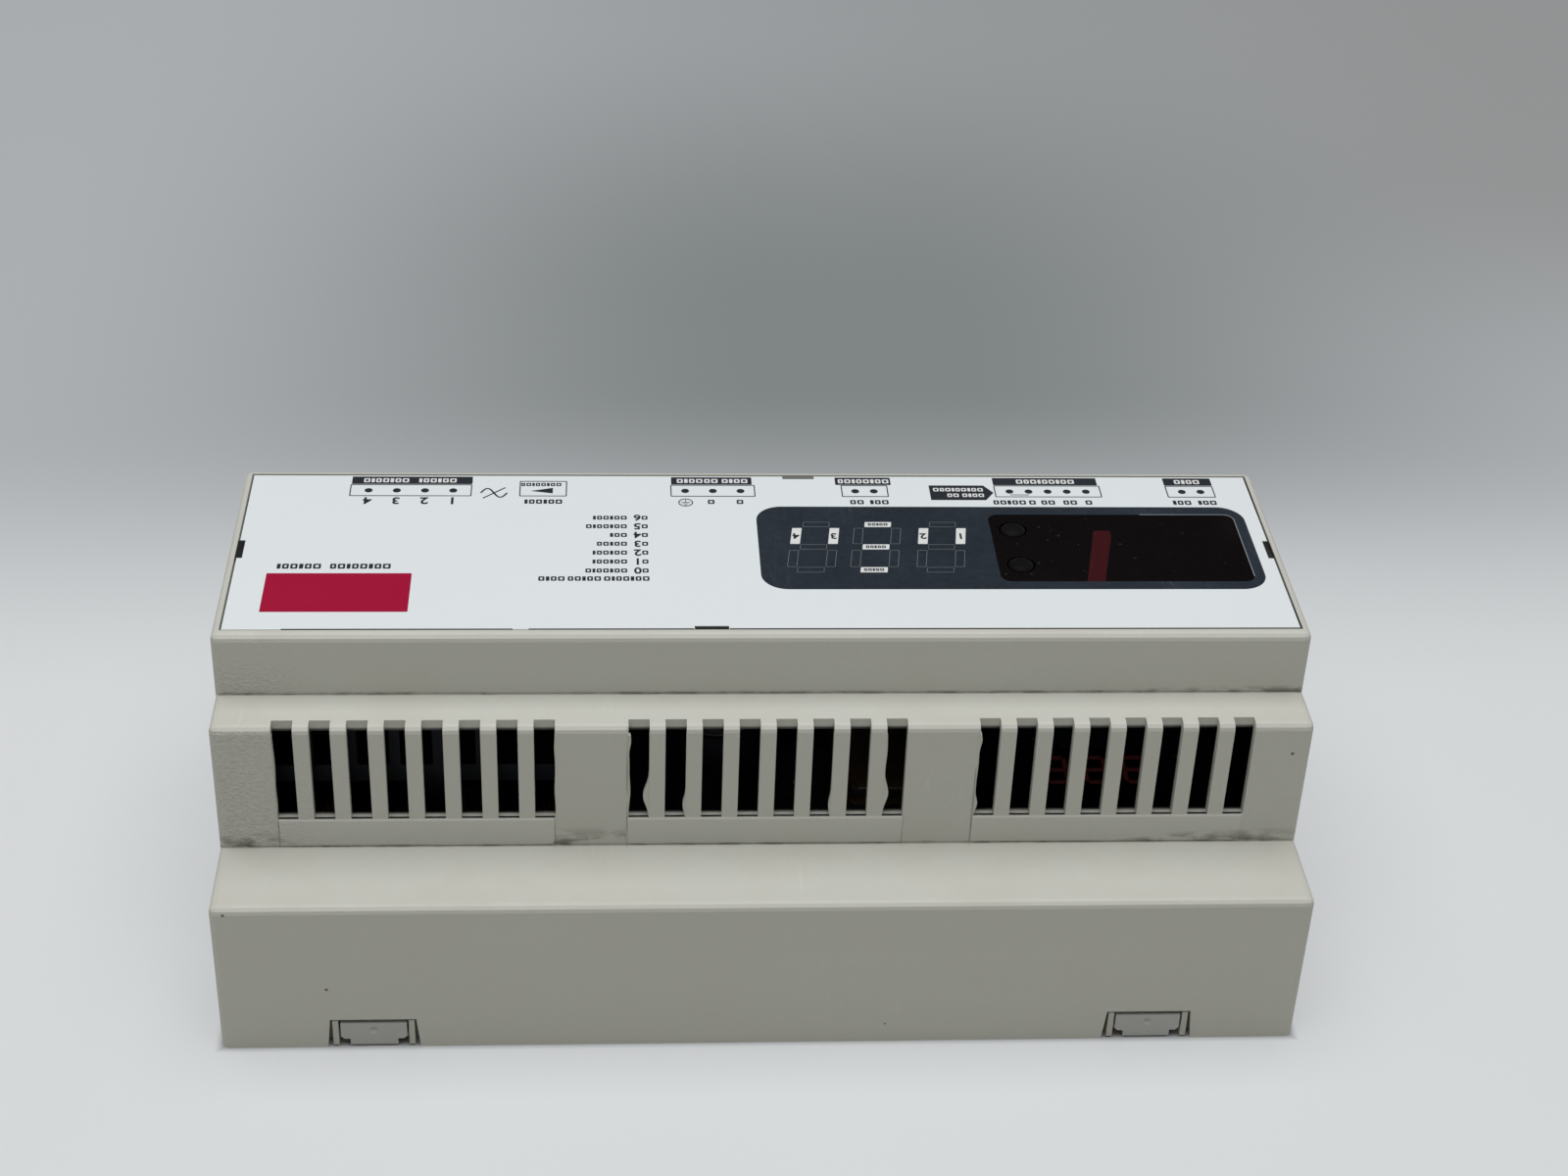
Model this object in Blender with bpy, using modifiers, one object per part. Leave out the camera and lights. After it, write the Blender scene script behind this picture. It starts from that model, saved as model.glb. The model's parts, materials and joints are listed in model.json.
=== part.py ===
"""Four-channel transistor dimmer for a 35 mm mounting rail.

A stepped plastic hood stands over a base that carries the rail channel, two sliding
rail clips and two circuit boards. The boards hold the power stage, the supply, the
display, the push-button switches and five terminal blocks. Metres, +Z up. The hood
lies along X, the clips face -Y and the terminals face +Y.
"""

import math
from dataclasses import dataclass

import bmesh
import bpy
from mathutils import Matrix, Vector

MM = 0.001
FIT = 0.3 * MM  # gap left between pieces that touch on the real product
PAST = 1.0 * MM  # how far a cutter runs past the face that it opens
OVERLAP = 0.5 * MM  # how far a piece or cutter runs into the one that it meets
WELD = 0.001 * MM
GROUND_TOLERANCE = 0.01 * MM
FLAT_ANGLE = math.radians(0.5)
SHARP_ANGLE = math.radians(30)

# Hood, outside
BODY_LENGTH = 160.0 * MM
BODY_DEPTH = 90.0 * MM
LEDGE_HEIGHT = 26.4 * MM
SHOULDER_HEIGHT = 47.8 * MM
FACE_HEIGHT = 58.0 * MM
CLIP_SIDE_LEDGE = 14.2 * MM
TERMINAL_SIDE_LEDGE = 12.4 * MM
SHOULDER_DEPTH = 8.4 * MM
EDGE_RADIUS = 1.1 * MM
EDGE_STEPS = 3

# Hood, walls and openings
WALL = 1.8 * MM
PANEL_SEAT_DEPTH = 2.0 * MM
RIM_NEAR = 1.6 * MM
RIM_OTHER = 1.2 * MM
VENT_GROUPS = 3
VENT_END_MARGIN = 8.8 * MM  # from the last slot to the end of the hood
VENT_SLOTS = 8
VENT_PITCH = 5.34 * MM
VENT_WIDTH = 3.05 * MM
VENT_SILL = 5.0 * MM  # height of the plain band below the slots
VENT_OVER_EDGE = 0.2 * MM  # how far a slot runs into the shoulder behind the wall
LATCH_WIDTH = 6.0 * MM
LATCH_HEIGHT = 1.7 * MM
LATCH_DEPTH = 1.5 * MM
LATCH_BOTTOM = 3.9 * MM
LATCH_OFFSET = 28.0 * MM  # from the middle of the end wall

# Base and rail channel for a 35 mm rail with 1 mm flanges
RAIL_WIDTH = 35.0 * MM
RAIL_PLAY = 0.6 * MM
RAIL_FLANGE = 1.0 * MM
RAIL_DEPTH = 5.0 * MM
RAIL_ROOF = 2.0 * MM
RAIL_CHEEK = 2.2 * MM
FLOOR_THICKNESS = 2.0 * MM
UPSTAND_WALL = 1.2 * MM
UPSTAND_TOP = 6.4 * MM
HOOK_REACH = 1.8 * MM
HOOK_WIDTH = 14.0 * MM
HOOK_LEAD = 0.9 * MM
HOOK_FOOT = 1.0 * MM  # height of the hook's lower face above the floor

# Sliding rail clips
CLIP_FROM_END = 22.4 * MM
CLIP_WIDTH = 9.7 * MM
CLIP_KEEL_WIDTH = 7.0 * MM
CLIP_BOTTOM = 0.4 * MM
CLIP_SINK = 0.5 * MM  # clip's top below the ceiling of the rail channel
CLIP_FLANGE_BOTTOM = 1.5 * MM
CLIP_FRONT_INSET = 0.1 * MM
CLIP_REACH = 1.9 * MM
CLIP_TRAVEL = 4.0 * MM
CLIP_LEAD = 1.2 * MM
CLIP_CORNER = 0.5 * MM
LUG_LENGTH = 3.0 * MM
LUG_WIDTH = 3.0 * MM
LUG_HEIGHT = 1.3 * MM
LUG_SETBACK = 13.0 * MM  # from the clip's front to the lug's front
DIMPLE_RADIUS = 0.9 * MM
DIMPLE_DEPTH = 0.3 * MM
DIMPLE_BELOW_TOP = 1.3 * MM
DIMPLE_RINGS = 8
DRIVER_SLOT = (4.4 * MM, 1.2 * MM, 1.2 * MM)
DRIVER_SLOT_SETBACK = 1.6 * MM
GUIDE_BAR_WALL = 0.85 * MM
GUIDE_BLOCK_WALL = 2.4 * MM
NOTCH_FLARE = 0.5 * MM

# Front panel
PANEL_THICKNESS = 1.6 * MM
PANEL_NOTCH_LENGTH = 5.0 * MM
PANEL_NOTCH_DEPTH = 0.8 * MM
PANEL_NOTCH_NEAR_X = -8.1 * MM
PANEL_NOTCH_FAR_X = 6.9 * MM
LEG_FROM_END = 25.0 * MM
LEG_LENGTH = 4.0 * MM
LEG_THICKNESS = 1.0 * MM
LEG_INSET = 2.4 * MM
LEG_BARB = 0.5 * MM
LEG_BARB_HEIGHT = 1.0 * MM

# Display window, push buttons and what carries them
WINDOW_FROM_END = 5.1 * MM
WINDOW_LENGTH = 39.2 * MM
WINDOW_DEPTH = 19.9 * MM
WINDOW_OFF_MIDDLE = 0.75 * MM  # from the middle of the face towards the terminals
WINDOW_FLANGE = 1.4 * MM
WINDOW_FLANGE_THICKNESS = 0.8 * MM
BUTTON_INSET = 3.6 * MM  # from the window's left edge
BUTTON_FAR_INSET = 4.8 * MM  # from the window's far edge
BUTTON_PITCH = 10.0 * MM
BUTTON_RADIUS = 1.9 * MM
BUTTON_PROUD = 0.5 * MM
BUTTON_EDGE = 0.4 * MM
BUTTON_COLLAR_RADIUS = 2.8 * MM
BUTTON_COLLAR_HEIGHT = 0.8 * MM
BUTTON_ROD_RADIUS = 1.5 * MM
BUTTON_TRAVEL = 0.5 * MM
SWITCH_SIZE = 6.2 * MM
SWITCH_HEIGHT = 3.5 * MM
SWITCH_COLLAR_WALL = 0.7 * MM
SWITCH_COLLAR_HEIGHT = 1.8 * MM
ROD_IN_SWITCH = 2.0 * MM
GUIDE_WIDTH = 6.4 * MM
GUIDE_MARGIN = 3.6 * MM  # from a rod's axis to the end of the guide
GUIDE_DECK = 3.0 * MM
GUIDE_LEG = 1.6 * MM
GUIDE_HEIGHT = 26.0 * MM
GUIDE_LOW_DECK = 7.0 * MM  # lower deck's underside above the board
DIGITS = 3
DIGIT_PITCH = 6.4 * MM
DIGIT_WIDTH = 5.4 * MM
DIGIT_HEIGHT = 8.6 * MM
DIGIT_RECESS = 0.3 * MM
DISPLAY_MARGIN = 1.4 * MM
DISPLAY_HEIGHT = 7.2 * MM
DISPLAY_INSET = 20.5 * MM  # from the window's right edge
DISPLAY_NEAR_INSET = 4.7 * MM  # from the window's near edge

# Circuit boards
BOARD_THICKNESS = 1.6 * MM
BOARD_LIFT = 3.4 * MM  # above the roof of the rail channel
BOARD_EDGE_GAP = 0.9 * MM
BOARD_SPLIT_X = 8.4 * MM
BOARD_SPLIT_GAP = 0.8 * MM
POST_RADIUS = 3.2 * MM
POST_INSET = 5.2 * MM
FAR_POST_SETBACK = 16.0 * MM  # from the far wall, clear of the terminal blocks
PEG_RADIUS = 1.3 * MM
PEG_PROUD = 0.5 * MM
SCREW_RADIUS = 1.4 * MM
SCREW_HEAD_RADIUS = 2.7 * MM
SCREW_HEAD_HEIGHT = 1.9 * MM
SCREW_HEAD_CROWN = 0.6 * MM  # height of the sloped top of the head
SCREW_CROWN_RADIUS = 1.9 * MM
SCREW_LENGTH = 8.0 * MM
SCREW_TIP_RADIUS = 0.7 * MM
SCREW_CROSS = 1.6 * MM  # reach of each arm of the cross slot
SCREW_SLOT = 0.8 * MM
SCREW_SLOT_DEPTH = 0.9 * MM

# Terminal blocks
BLOCK_DEPTH = 10.4 * MM
BLOCK_END_WALL = 0.5 * MM
ENTRY_ABOVE_BOARD = 2.2 * MM
WELL_FLOOR = 1.0 * MM
CLAMP_SCREW_HEIGHT = 3.4 * MM
CLAMP_SLOT = 0.6 * MM
CLAMP_SLOT_DEPTH = 0.9 * MM
POWER_PITCH = 7.62 * MM
POWER_ENTRY_WIDTH = 3.4 * MM
POWER_ENTRY_HEIGHT = 3.5 * MM
POWER_ENTRY_DEPTH = 7.0 * MM
POWER_WELL_RADIUS = 1.85 * MM
SIGNAL_PITCH = 5.08 * MM
SIGNAL_ENTRY_WIDTH = 2.8 * MM
SIGNAL_ENTRY_HEIGHT = 3.2 * MM
SIGNAL_ENTRY_DEPTH = 6.0 * MM
SIGNAL_WELL_RADIUS = 1.6 * MM
OUTPUT_FROM_END = 26.1 * MM
MAINS_FROM_SPLIT = 15.15 * MM
OVERRIDE_FROM_SPLIT = 8.8 * MM
CONTROL_FROM_END = 33.7 * MM
BUS_FROM_END = 10.7 * MM

# Heat sink and power transistors
SINK_FROM_END = 6.0 * MM
SINK_FROM_SPLIT = 30.4 * MM
SINK_WALL_GAP = 4.0 * MM  # to the inside of the vent wall
SINK_WEB = 4.0 * MM
SINK_PLATE_BOTTOM = 34.0 * MM
SINK_PLATE = 3.0 * MM
SINK_FINS = 9
SINK_FIN_HEIGHT = 7.0 * MM
SINK_FIN_THICKNESS = 1.6 * MM
TRANSISTORS_PER_SIDE = 4
TRANSISTOR_PITCH = 12.2 * MM
TRANSISTOR_WIDTH = 10.0 * MM
TRANSISTOR_BODY = (4.4 * MM, 9.2 * MM)  # thickness and height
TRANSISTOR_TAB = (1.3 * MM, 15.4 * MM)  # thickness and height with the body
TRANSISTOR_HOLE_RADIUS = 1.8 * MM
TRANSISTOR_LEG = 0.8 * MM
TRANSISTOR_LEG_PITCH = 2.54 * MM
TRANSISTOR_LEG_LENGTH = 3.0 * MM

# Chokes, supply and control parts: places on the boards and outside sizes
CHOKE_TUBE = 3.2 * MM
CHOKE_EDGE_GAP = 2.4 * MM  # to the edge of the board
CHOKE_FACETS = (20, 8)  # around the ring and around its tube
CHOKE_CLEARANCE = 0.6 * MM  # to the transistors beside it
CHOKE_Y = (-14.0 * MM, 9.0 * MM)
TRANSFORMER_SPLIT_GAP = 2.2 * MM
TRANSFORMER_GUIDE_GAP = 5.1 * MM
TRANSFORMER_Y = -12.0 * MM
CORE_DEPTH = 15.0 * MM
CORE_HEIGHT = 17.0 * MM
COIL_INSET = 2.5 * MM
COIL_DEPTH = 20.0 * MM
COIL_HEIGHT = 11.0 * MM
TRANSFORMER_FOOT = 3.0 * MM
COIL_EDGE = 1.0 * MM
CAPACITORS_FROM_SPLIT = 15.4 * MM
BULK_CAPACITOR_Y = -12.0 * MM
BULK_CAPACITOR_RADIUS = 8.0 * MM
BULK_CAPACITOR_HEIGHT = 25.0 * MM
BULK_CAPACITOR_BEAD = 0.65 * MM
FILM_CAPACITOR_Y = 13.0 * MM
FILM_CAPACITOR_SIZE = (18.0 * MM, 8.5 * MM, 15.0 * MM)
FILM_CAPACITOR_EDGE = 0.6 * MM
FUSE_FROM_SPLIT = 18.4 * MM
FUSE_FROM_WALL = 11.2 * MM
FUSE_LENGTH = 20.0 * MM
FUSE_CAP_RADIUS = 2.6 * MM
FUSE_CAP_LENGTH = 5.2 * MM
FUSE_CAP_END = 0.3 * MM
FUSE_GLASS_RADIUS = 2.3 * MM
HOLDER_BASE = 2.0 * MM
HOLDER_EAR = (3.6 * MM, 0.8 * MM)
PROCESSOR_FROM_LINK = 11.0 * MM
PROCESSOR_SIZE = 12.0 * MM
PROCESSOR_HEIGHT = 1.4 * MM
PROCESSOR_EDGE = 0.3 * MM
LINK_FROM_POST = 7.2 * MM
LINK_SIZE = (12.0 * MM, 5.0 * MM, 6.0 * MM)
LINK_EDGE = 0.4 * MM

ROUND = 16  # facets on a button, a post or another turned piece
SMALL_ROUND = 12  # facets on a small screw or bore


# Faces and levels that several pieces share
END = BODY_LENGTH / 2
NEAR = -BODY_DEPTH / 2
FAR = BODY_DEPTH / 2
NEAR_VENT = NEAR + CLIP_SIDE_LEDGE
FAR_VENT = FAR - TERMINAL_SIDE_LEDGE
FACE_NEAR = NEAR_VENT + SHOULDER_DEPTH
FACE_FAR = FAR_VENT - SHOULDER_DEPTH
PANEL_SEAT = FACE_HEIGHT - PANEL_SEAT_DEPTH
FACE_CEILING = PANEL_SEAT - WALL
LEDGE_CEILING = LEDGE_HEIGHT - WALL
PANEL_BOTTOM = PANEL_SEAT + FIT
PANEL_TOP = PANEL_BOTTOM + PANEL_THICKNESS
RECESS_X = END - RIM_OTHER
RECESS_NEAR = FACE_NEAR + RIM_NEAR
RECESS_FAR = FACE_FAR - RIM_OTHER
WINDOW_FLANGE_TOP = PANEL_BOTTOM - FIT
WINDOW_FLANGE_BOTTOM = WINDOW_FLANGE_TOP - WINDOW_FLANGE_THICKNESS
CHANNEL = (RAIL_WIDTH + RAIL_PLAY) / 2
CHANNEL_CHEEK = CHANNEL + RAIL_CHEEK
ROOF_TOP = RAIL_DEPTH + RAIL_ROOF
LIP_TOP = RAIL_DEPTH - RAIL_FLANGE - FIT
CLIP_TOP = RAIL_DEPTH - CLIP_SINK
CLIP_FRONT = NEAR + CLIP_FRONT_INSET
BOARD_BOTTOM = ROOF_TOP + BOARD_LIFT
BOARD_TOP = BOARD_BOTTOM + BOARD_THICKNESS
SEAT = BOARD_TOP + FIT
INNER_END = END - WALL
INNER_NEAR = NEAR + WALL
INNER_FAR = FAR - WALL
POST_NEAR_Y = INNER_NEAR + POST_INSET
POST_FAR_Y = INNER_FAR - FAR_POST_SETBACK
BORE_RADIUS = BUTTON_ROD_RADIUS + FIT
SWITCH_TOP = SEAT + SWITCH_HEIGHT + SWITCH_COLLAR_HEIGHT
ROD_END = SWITCH_TOP - ROD_IN_SWITCH
COLLAR_TOP = WINDOW_FLANGE_BOTTOM - FIT

# Places that follow from the ends, the walls and the split between the boards
VENT_GROUP_HALF = ((VENT_SLOTS - 1) * VENT_PITCH + VENT_WIDTH) / 2
VENT_GROUP_PITCH = 2 * (END - VENT_END_MARGIN - VENT_GROUP_HALF) / (VENT_GROUPS - 1)
CLIP_X = END - CLIP_FROM_END
LEG_X = (LEG_FROM_END - END, 0.0, END - LEG_FROM_END)
WINDOW_HIGH_X = END - WINDOW_FROM_END
WINDOW_LOW_X = WINDOW_HIGH_X - WINDOW_LENGTH
WINDOW_MIDDLE_Y = (FACE_NEAR + FACE_FAR) / 2 + WINDOW_OFF_MIDDLE
WINDOW_LOW_Y = WINDOW_MIDDLE_Y - WINDOW_DEPTH / 2
WINDOW_HIGH_Y = WINDOW_MIDDLE_Y + WINDOW_DEPTH / 2
BUTTON_X = WINDOW_LOW_X + BUTTON_INSET
BUTTON_FAR_Y = WINDOW_HIGH_Y - BUTTON_FAR_INSET
BUTTON_Y = (BUTTON_FAR_Y, BUTTON_FAR_Y - BUTTON_PITCH)
DISPLAY_X = WINDOW_HIGH_X - DISPLAY_INSET
DISPLAY_Y = WINDOW_LOW_Y + DISPLAY_NEAR_INSET
BOARD_OUTER = INNER_END - BOARD_EDGE_GAP
POWER_BOARD_END = BOARD_SPLIT_X - BOARD_SPLIT_GAP / 2
CONTROL_BOARD_END = BOARD_SPLIT_X + BOARD_SPLIT_GAP / 2
SINK_LEFT = SINK_FROM_END - END
SINK_RIGHT = BOARD_SPLIT_X - SINK_FROM_SPLIT
SINK_X = (SINK_LEFT + SINK_RIGHT) / 2
SINK_LENGTH = 2 * (-NEAR_VENT - WALL - SINK_WALL_GAP)
CHOKE_START = SINK_WEB / 2 + FIT + TRANSISTOR_BODY[0] + CHOKE_CLEARANCE
CHOKE_OUTER = (BOARD_OUTER + SINK_X - CHOKE_EDGE_GAP - CHOKE_START) / 2
GUIDE_LOW_X = BUTTON_X - GUIDE_WIDTH / 2
CORE_LOW_X = CONTROL_BOARD_END + TRANSFORMER_SPLIT_GAP
CORE_HIGH_X = GUIDE_LOW_X - TRANSFORMER_GUIDE_GAP
CAPACITORS_X = BOARD_SPLIT_X - CAPACITORS_FROM_SPLIT
LINK_Y = POST_FAR_Y - LINK_FROM_POST
PROCESSOR_X = (CONTROL_BOARD_END + GUIDE_LOW_X) / 2
PROCESSOR_Y = LINK_Y - PROCESSOR_FROM_LINK
FUSE_AT = (BOARD_SPLIT_X - FUSE_FROM_SPLIT, INNER_NEAR + FUSE_FROM_WALL)


@dataclass(frozen=True)
class TerminalStyle:
    """Sizes shared by the terminal blocks of one pitch."""

    pitch: float
    entry_width: float
    entry_height: float
    entry_depth: float
    well_radius: float


POWER = TerminalStyle(
    POWER_PITCH, POWER_ENTRY_WIDTH, POWER_ENTRY_HEIGHT, POWER_ENTRY_DEPTH, POWER_WELL_RADIUS
)
SIGNAL = TerminalStyle(
    SIGNAL_PITCH, SIGNAL_ENTRY_WIDTH, SIGNAL_ENTRY_HEIGHT, SIGNAL_ENTRY_DEPTH, SIGNAL_WELL_RADIUS
)


@dataclass(frozen=True)
class TerminalBlock:
    """One block: its node name, middle and number of ways."""

    name: str
    x: float
    ways: int
    style: TerminalStyle

    @property
    def width(self):
        return self.ways * self.style.pitch + 2 * BLOCK_END_WALL

    def way_centres(self):
        first = self.x - (self.ways - 1) * self.style.pitch / 2
        return [first + index * self.style.pitch for index in range(self.ways)]


BLOCKS = (
    TerminalBlock("output_terminal_block", OUTPUT_FROM_END - END, 4, POWER),
    TerminalBlock("mains_terminal_block", BOARD_SPLIT_X - MAINS_FROM_SPLIT, 3, POWER),
    TerminalBlock("override_terminal_block", BOARD_SPLIT_X + OVERRIDE_FROM_SPLIT, 2, SIGNAL),
    TerminalBlock("control_terminal_block", END - CONTROL_FROM_END, 5, SIGNAL),
    TerminalBlock("bus_terminal_block", END - BUS_FROM_END, 2, SIGNAL),
)


def clear_scene():
    """Removes what the file holds and makes the two collections."""
    for obj in list(bpy.data.objects):
        bpy.data.objects.remove(obj, do_unlink=True)
    made = []
    for name in ("transistor_dimmer", "cutters"):
        collection = bpy.data.collections.new(name)
        bpy.context.scene.collection.children.link(collection)
        made.append(collection)
    made[1].hide_render = True
    return made


PARTS, HELPERS = clear_scene()


def finish(name, colour, roughness, metallic=0.0, alpha=1.0):
    """A Principled material of one colour."""
    material = bpy.data.materials.new(name)
    material.use_nodes = True
    shader = material.node_tree.nodes["Principled BSDF"]
    shader.inputs["Base Color"].default_value = (*colour, 1.0)
    shader.inputs["Roughness"].default_value = roughness
    shader.inputs["Metallic"].default_value = metallic
    shader.inputs["Alpha"].default_value = alpha
    material.diffuse_color = (*colour, alpha)
    return material


HOOD_PLASTIC = finish("warm_grey_plastic", (0.51, 0.50, 0.46), 0.48)
BASE_PLASTIC = finish("base_plastic", (0.48, 0.47, 0.43), 0.50)
CLIP_PLASTIC = finish("clip_plastic", (0.30, 0.30, 0.29), 0.42)
LABEL_WHITE = finish("label_white", (0.78, 0.81, 0.81), 0.40)
WINDOW_TINT = finish("dark_red_window", (0.02, 0.008, 0.008), 0.10, alpha=0.6)
BUTTON_BLACK = finish("button_black", (0.02, 0.02, 0.02), 0.35)
GUIDE_BLACK = finish("guide_black", (0.03, 0.03, 0.035), 0.50)
SWITCH_BODY = finish("switch_body", (0.05, 0.05, 0.05), 0.45)
DISPLAY_BODY = finish("display_body", (0.09, 0.03, 0.03), 0.30)
BOARD_GREEN = finish("board_green", (0.02, 0.16, 0.07), 0.40)
TERMINAL_GREY = finish("terminal_grey", (0.18, 0.19, 0.20), 0.45)
SCREW_STEEL = finish("zinc_plated_steel", (0.62, 0.62, 0.60), 0.35, 1.0)
SINK_ALUMINIUM = finish("anodised_aluminium", (0.10, 0.10, 0.11), 0.40, 0.8)
EPOXY_BLACK = finish("epoxy_black", (0.025, 0.025, 0.027), 0.50)
WINDING_COPPER = finish("enamelled_copper", (0.42, 0.17, 0.07), 0.35, 0.7)
TAPE_YELLOW = finish("polyester_tape", (0.62, 0.45, 0.16), 0.35)
SLEEVE_BLACK = finish("capacitor_sleeve", (0.04, 0.05, 0.08), 0.35)
FILM_BOX = finish("film_capacitor_box", (0.55, 0.44, 0.10), 0.40)
FUSE_GLASS = finish("fuse_glass", (0.75, 0.80, 0.80), 0.08, alpha=0.5)
HOLDER_BRASS = finish("tinned_brass", (0.60, 0.55, 0.42), 0.35, 1.0)


def place(name, bm, at, material, node):
    """Turns a bmesh into an object at a place, as a node or as a helper."""
    mesh = bpy.data.meshes.new(name)
    bm.to_mesh(mesh)
    bm.free()
    obj = bpy.data.objects.new(name, mesh)
    obj.location = at
    if node:
        PARTS.objects.link(obj)
        mesh.materials.append(material)
    else:
        HELPERS.objects.link(obj)
        obj.display_type = "WIRE"
        obj.hide_render = True
    return obj


def box(name, low, high, material=None, node=False, bevel=0.0):
    """A box between two corners, with its origin in its middle."""
    low, high = Vector(low), Vector(high)
    bm = bmesh.new()
    bmesh.ops.create_cube(bm, size=1.0)
    bmesh.ops.scale(bm, vec=high - low, verts=bm.verts)
    if bevel:
        bmesh.ops.bevel(bm, geom=list(bm.edges), offset=bevel, segments=1, affect="EDGES")
    return place(name, bm, (low + high) / 2, material, node)


def cylinder(name, radius, low, high, facets=SMALL_ROUND, material=None, node=False):
    """An upright cylinder between the middles of its two ends, which may lie along any axis."""
    low, high = Vector(low), Vector(high)
    bm = bmesh.new()
    bmesh.ops.create_cone(
        bm, cap_ends=True, segments=facets, radius1=radius, radius2=radius, depth=(high - low).length
    )
    obj = place(name, bm, (low + high) / 2, material, node)
    obj.rotation_mode = "QUATERNION"
    obj.rotation_quaternion = Vector((0, 0, 1)).rotation_difference(high - low)
    return obj


def outline_mesh(name, points, thickness):
    """A flat outline with a thickness, as a bmesh with clean faces."""
    curve = bpy.data.curves.new(name, "CURVE")
    curve.dimensions = "2D"
    curve.fill_mode = "BOTH"
    curve.extrude = thickness / 2
    spline = curve.splines.new("POLY")
    spline.points.add(len(points) - 1)
    for point, (u, v) in zip(spline.points, points):
        point.co = (u, v, 0.0, 1.0)
    spline.use_cyclic_u = True
    holder = bpy.data.objects.new(name + "_outline", curve)
    bm = bmesh.new()
    bm.from_mesh(holder.to_mesh())
    holder.to_mesh_clear()
    bpy.data.objects.remove(holder)
    bmesh.ops.remove_doubles(bm, verts=bm.verts, dist=WELD)
    bmesh.ops.dissolve_limit(bm, angle_limit=FLAT_ANGLE, verts=bm.verts, edges=bm.edges)
    bmesh.ops.recalc_face_normals(bm, faces=bm.faces)
    return bm


ALONG_X = Matrix(((0, 0, 1, 0), (1, 0, 0, 0), (0, 1, 0, 0), (0, 0, 0, 1)))
ALONG_Y = Matrix(((1, 0, 0, 0), (0, 0, -1, 0), (0, 1, 0, 0), (0, 0, 0, 1)))


def prism(name, points, low, high, axis, material=None, node=False, bevel=0.0):
    """An outline drawn across an axis and carried along it from low to high.

    The outline holds (y, z) pairs for the X axis and (x, z) pairs for the Y axis. Where a
    bevel is given it rounds each edge that stands out and isn't on the ground.
    """
    bm = outline_mesh(name, points, high - low)
    bmesh.ops.transform(bm, matrix=ALONG_X if axis == "X" else ALONG_Y, verts=bm.verts)
    if bevel:
        bm.normal_update()
        round_outward_edges(bm, bevel)
    middle = (low + high) / 2
    at = (middle, 0, 0) if axis == "X" else (0, middle, 0)
    return place(name, bm, at, material, node)


def round_outward_edges(bm, radius):
    """Rounds the edges that stand out, apart from those around the open bottom."""
    edges = []
    for edge in bm.edges:
        on_ground = all(vert.co.z < GROUND_TOLERANCE for vert in edge.verts)
        if not on_ground and edge.calc_face_angle_signed(0.0) > SHARP_ANGLE:
            edges.append(edge)
    bmesh.ops.bevel(bm, geom=edges, offset=radius, segments=EDGE_STEPS, profile=0.5, affect="EDGES")


def turned(name, profile, at, material=None, node=False, facets=ROUND):
    """A profile of (radius, height) pairs turned about an upright axis."""
    bm = bmesh.new()
    verts = [bm.verts.new((radius, 0.0, height)) for radius, height in profile]
    for first, second in zip(verts, verts[1:]):
        bm.edges.new((first, second))
    obj = place(name, bm, at, material, node)
    screw = obj.modifiers.new("turn", "SCREW")
    screw.axis = "Z"
    screw.steps = facets
    screw.render_steps = facets
    screw.use_merge_vertices = True
    screw.merge_threshold = WELD
    screw.use_normal_flip = True
    return obj


def combine(target, pieces, operation):
    """Joins helper pieces to a solid, or cuts them from it, in one exact Boolean."""
    group = bpy.data.collections.new(f"{target.name}_{operation.lower()}_{len(target.modifiers)}")
    HELPERS.children.link(group)
    for piece in pieces:
        HELPERS.objects.unlink(piece)
        group.objects.link(piece)
    boolean = target.modifiers.new(group.name, "BOOLEAN")
    boolean.operation = operation
    boolean.solver = "EXACT"
    boolean.operand_type = "COLLECTION"
    boolean.collection = group
    return target


def join(target, pieces):
    return combine(target, pieces, "UNION")


def cut(target, pieces):
    return combine(target, pieces, "DIFFERENCE")


def hood_outline(inset, bottom, top):
    """The stepped section as (y, z) pairs, with each wall moved in by the inset."""
    ledge = LEDGE_HEIGHT - inset
    shoulder = SHOULDER_HEIGHT - inset
    near_steps = (NEAR + inset, NEAR_VENT + inset, FACE_NEAR + inset)
    far_steps = (FAR - inset, FAR_VENT - inset, FACE_FAR - inset)
    levels = ((bottom, ledge), (ledge, shoulder), (shoulder, top))
    near_side = [(y, z) for y, pair in zip(near_steps, levels) for z in pair]
    far_side = [(y, z) for y, pair in zip(far_steps, levels) for z in pair]
    return near_side + far_side[::-1]


def vent_cutters():
    """One box for each slot of each group, on the clip side and on the terminal side.

    A slot opens the wall from its sill upwards and runs a little way into the shoulder.
    """
    cutters = []
    reach = WALL + VENT_OVER_EDGE
    sides = ((NEAR_VENT - PAST, NEAR_VENT + reach), (FAR_VENT - reach, FAR_VENT + PAST))
    for group in range(VENT_GROUPS):
        middle = (group - (VENT_GROUPS - 1) / 2) * VENT_GROUP_PITCH
        for slot in range(VENT_SLOTS):
            x = middle + (slot - (VENT_SLOTS - 1) / 2) * VENT_PITCH
            for y_low, y_high in sides:
                low = (x - VENT_WIDTH / 2, y_low, LEDGE_HEIGHT + VENT_SILL)
                high = (x + VENT_WIDTH / 2, y_high, SHOULDER_HEIGHT + PAST)
                cutters.append(box("vent_slot", low, high))
    return cutters


def leg_places():
    """Middle of each panel leg, with +1 where its barb points to +Y and -1 where to -Y."""
    near = RECESS_NEAR + FIT + LEG_INSET
    far = RECESS_FAR - FIT - LEG_INSET
    return [(x, y, side) for x in LEG_X for y, side in ((near, 1), (far, -1))]


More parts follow.
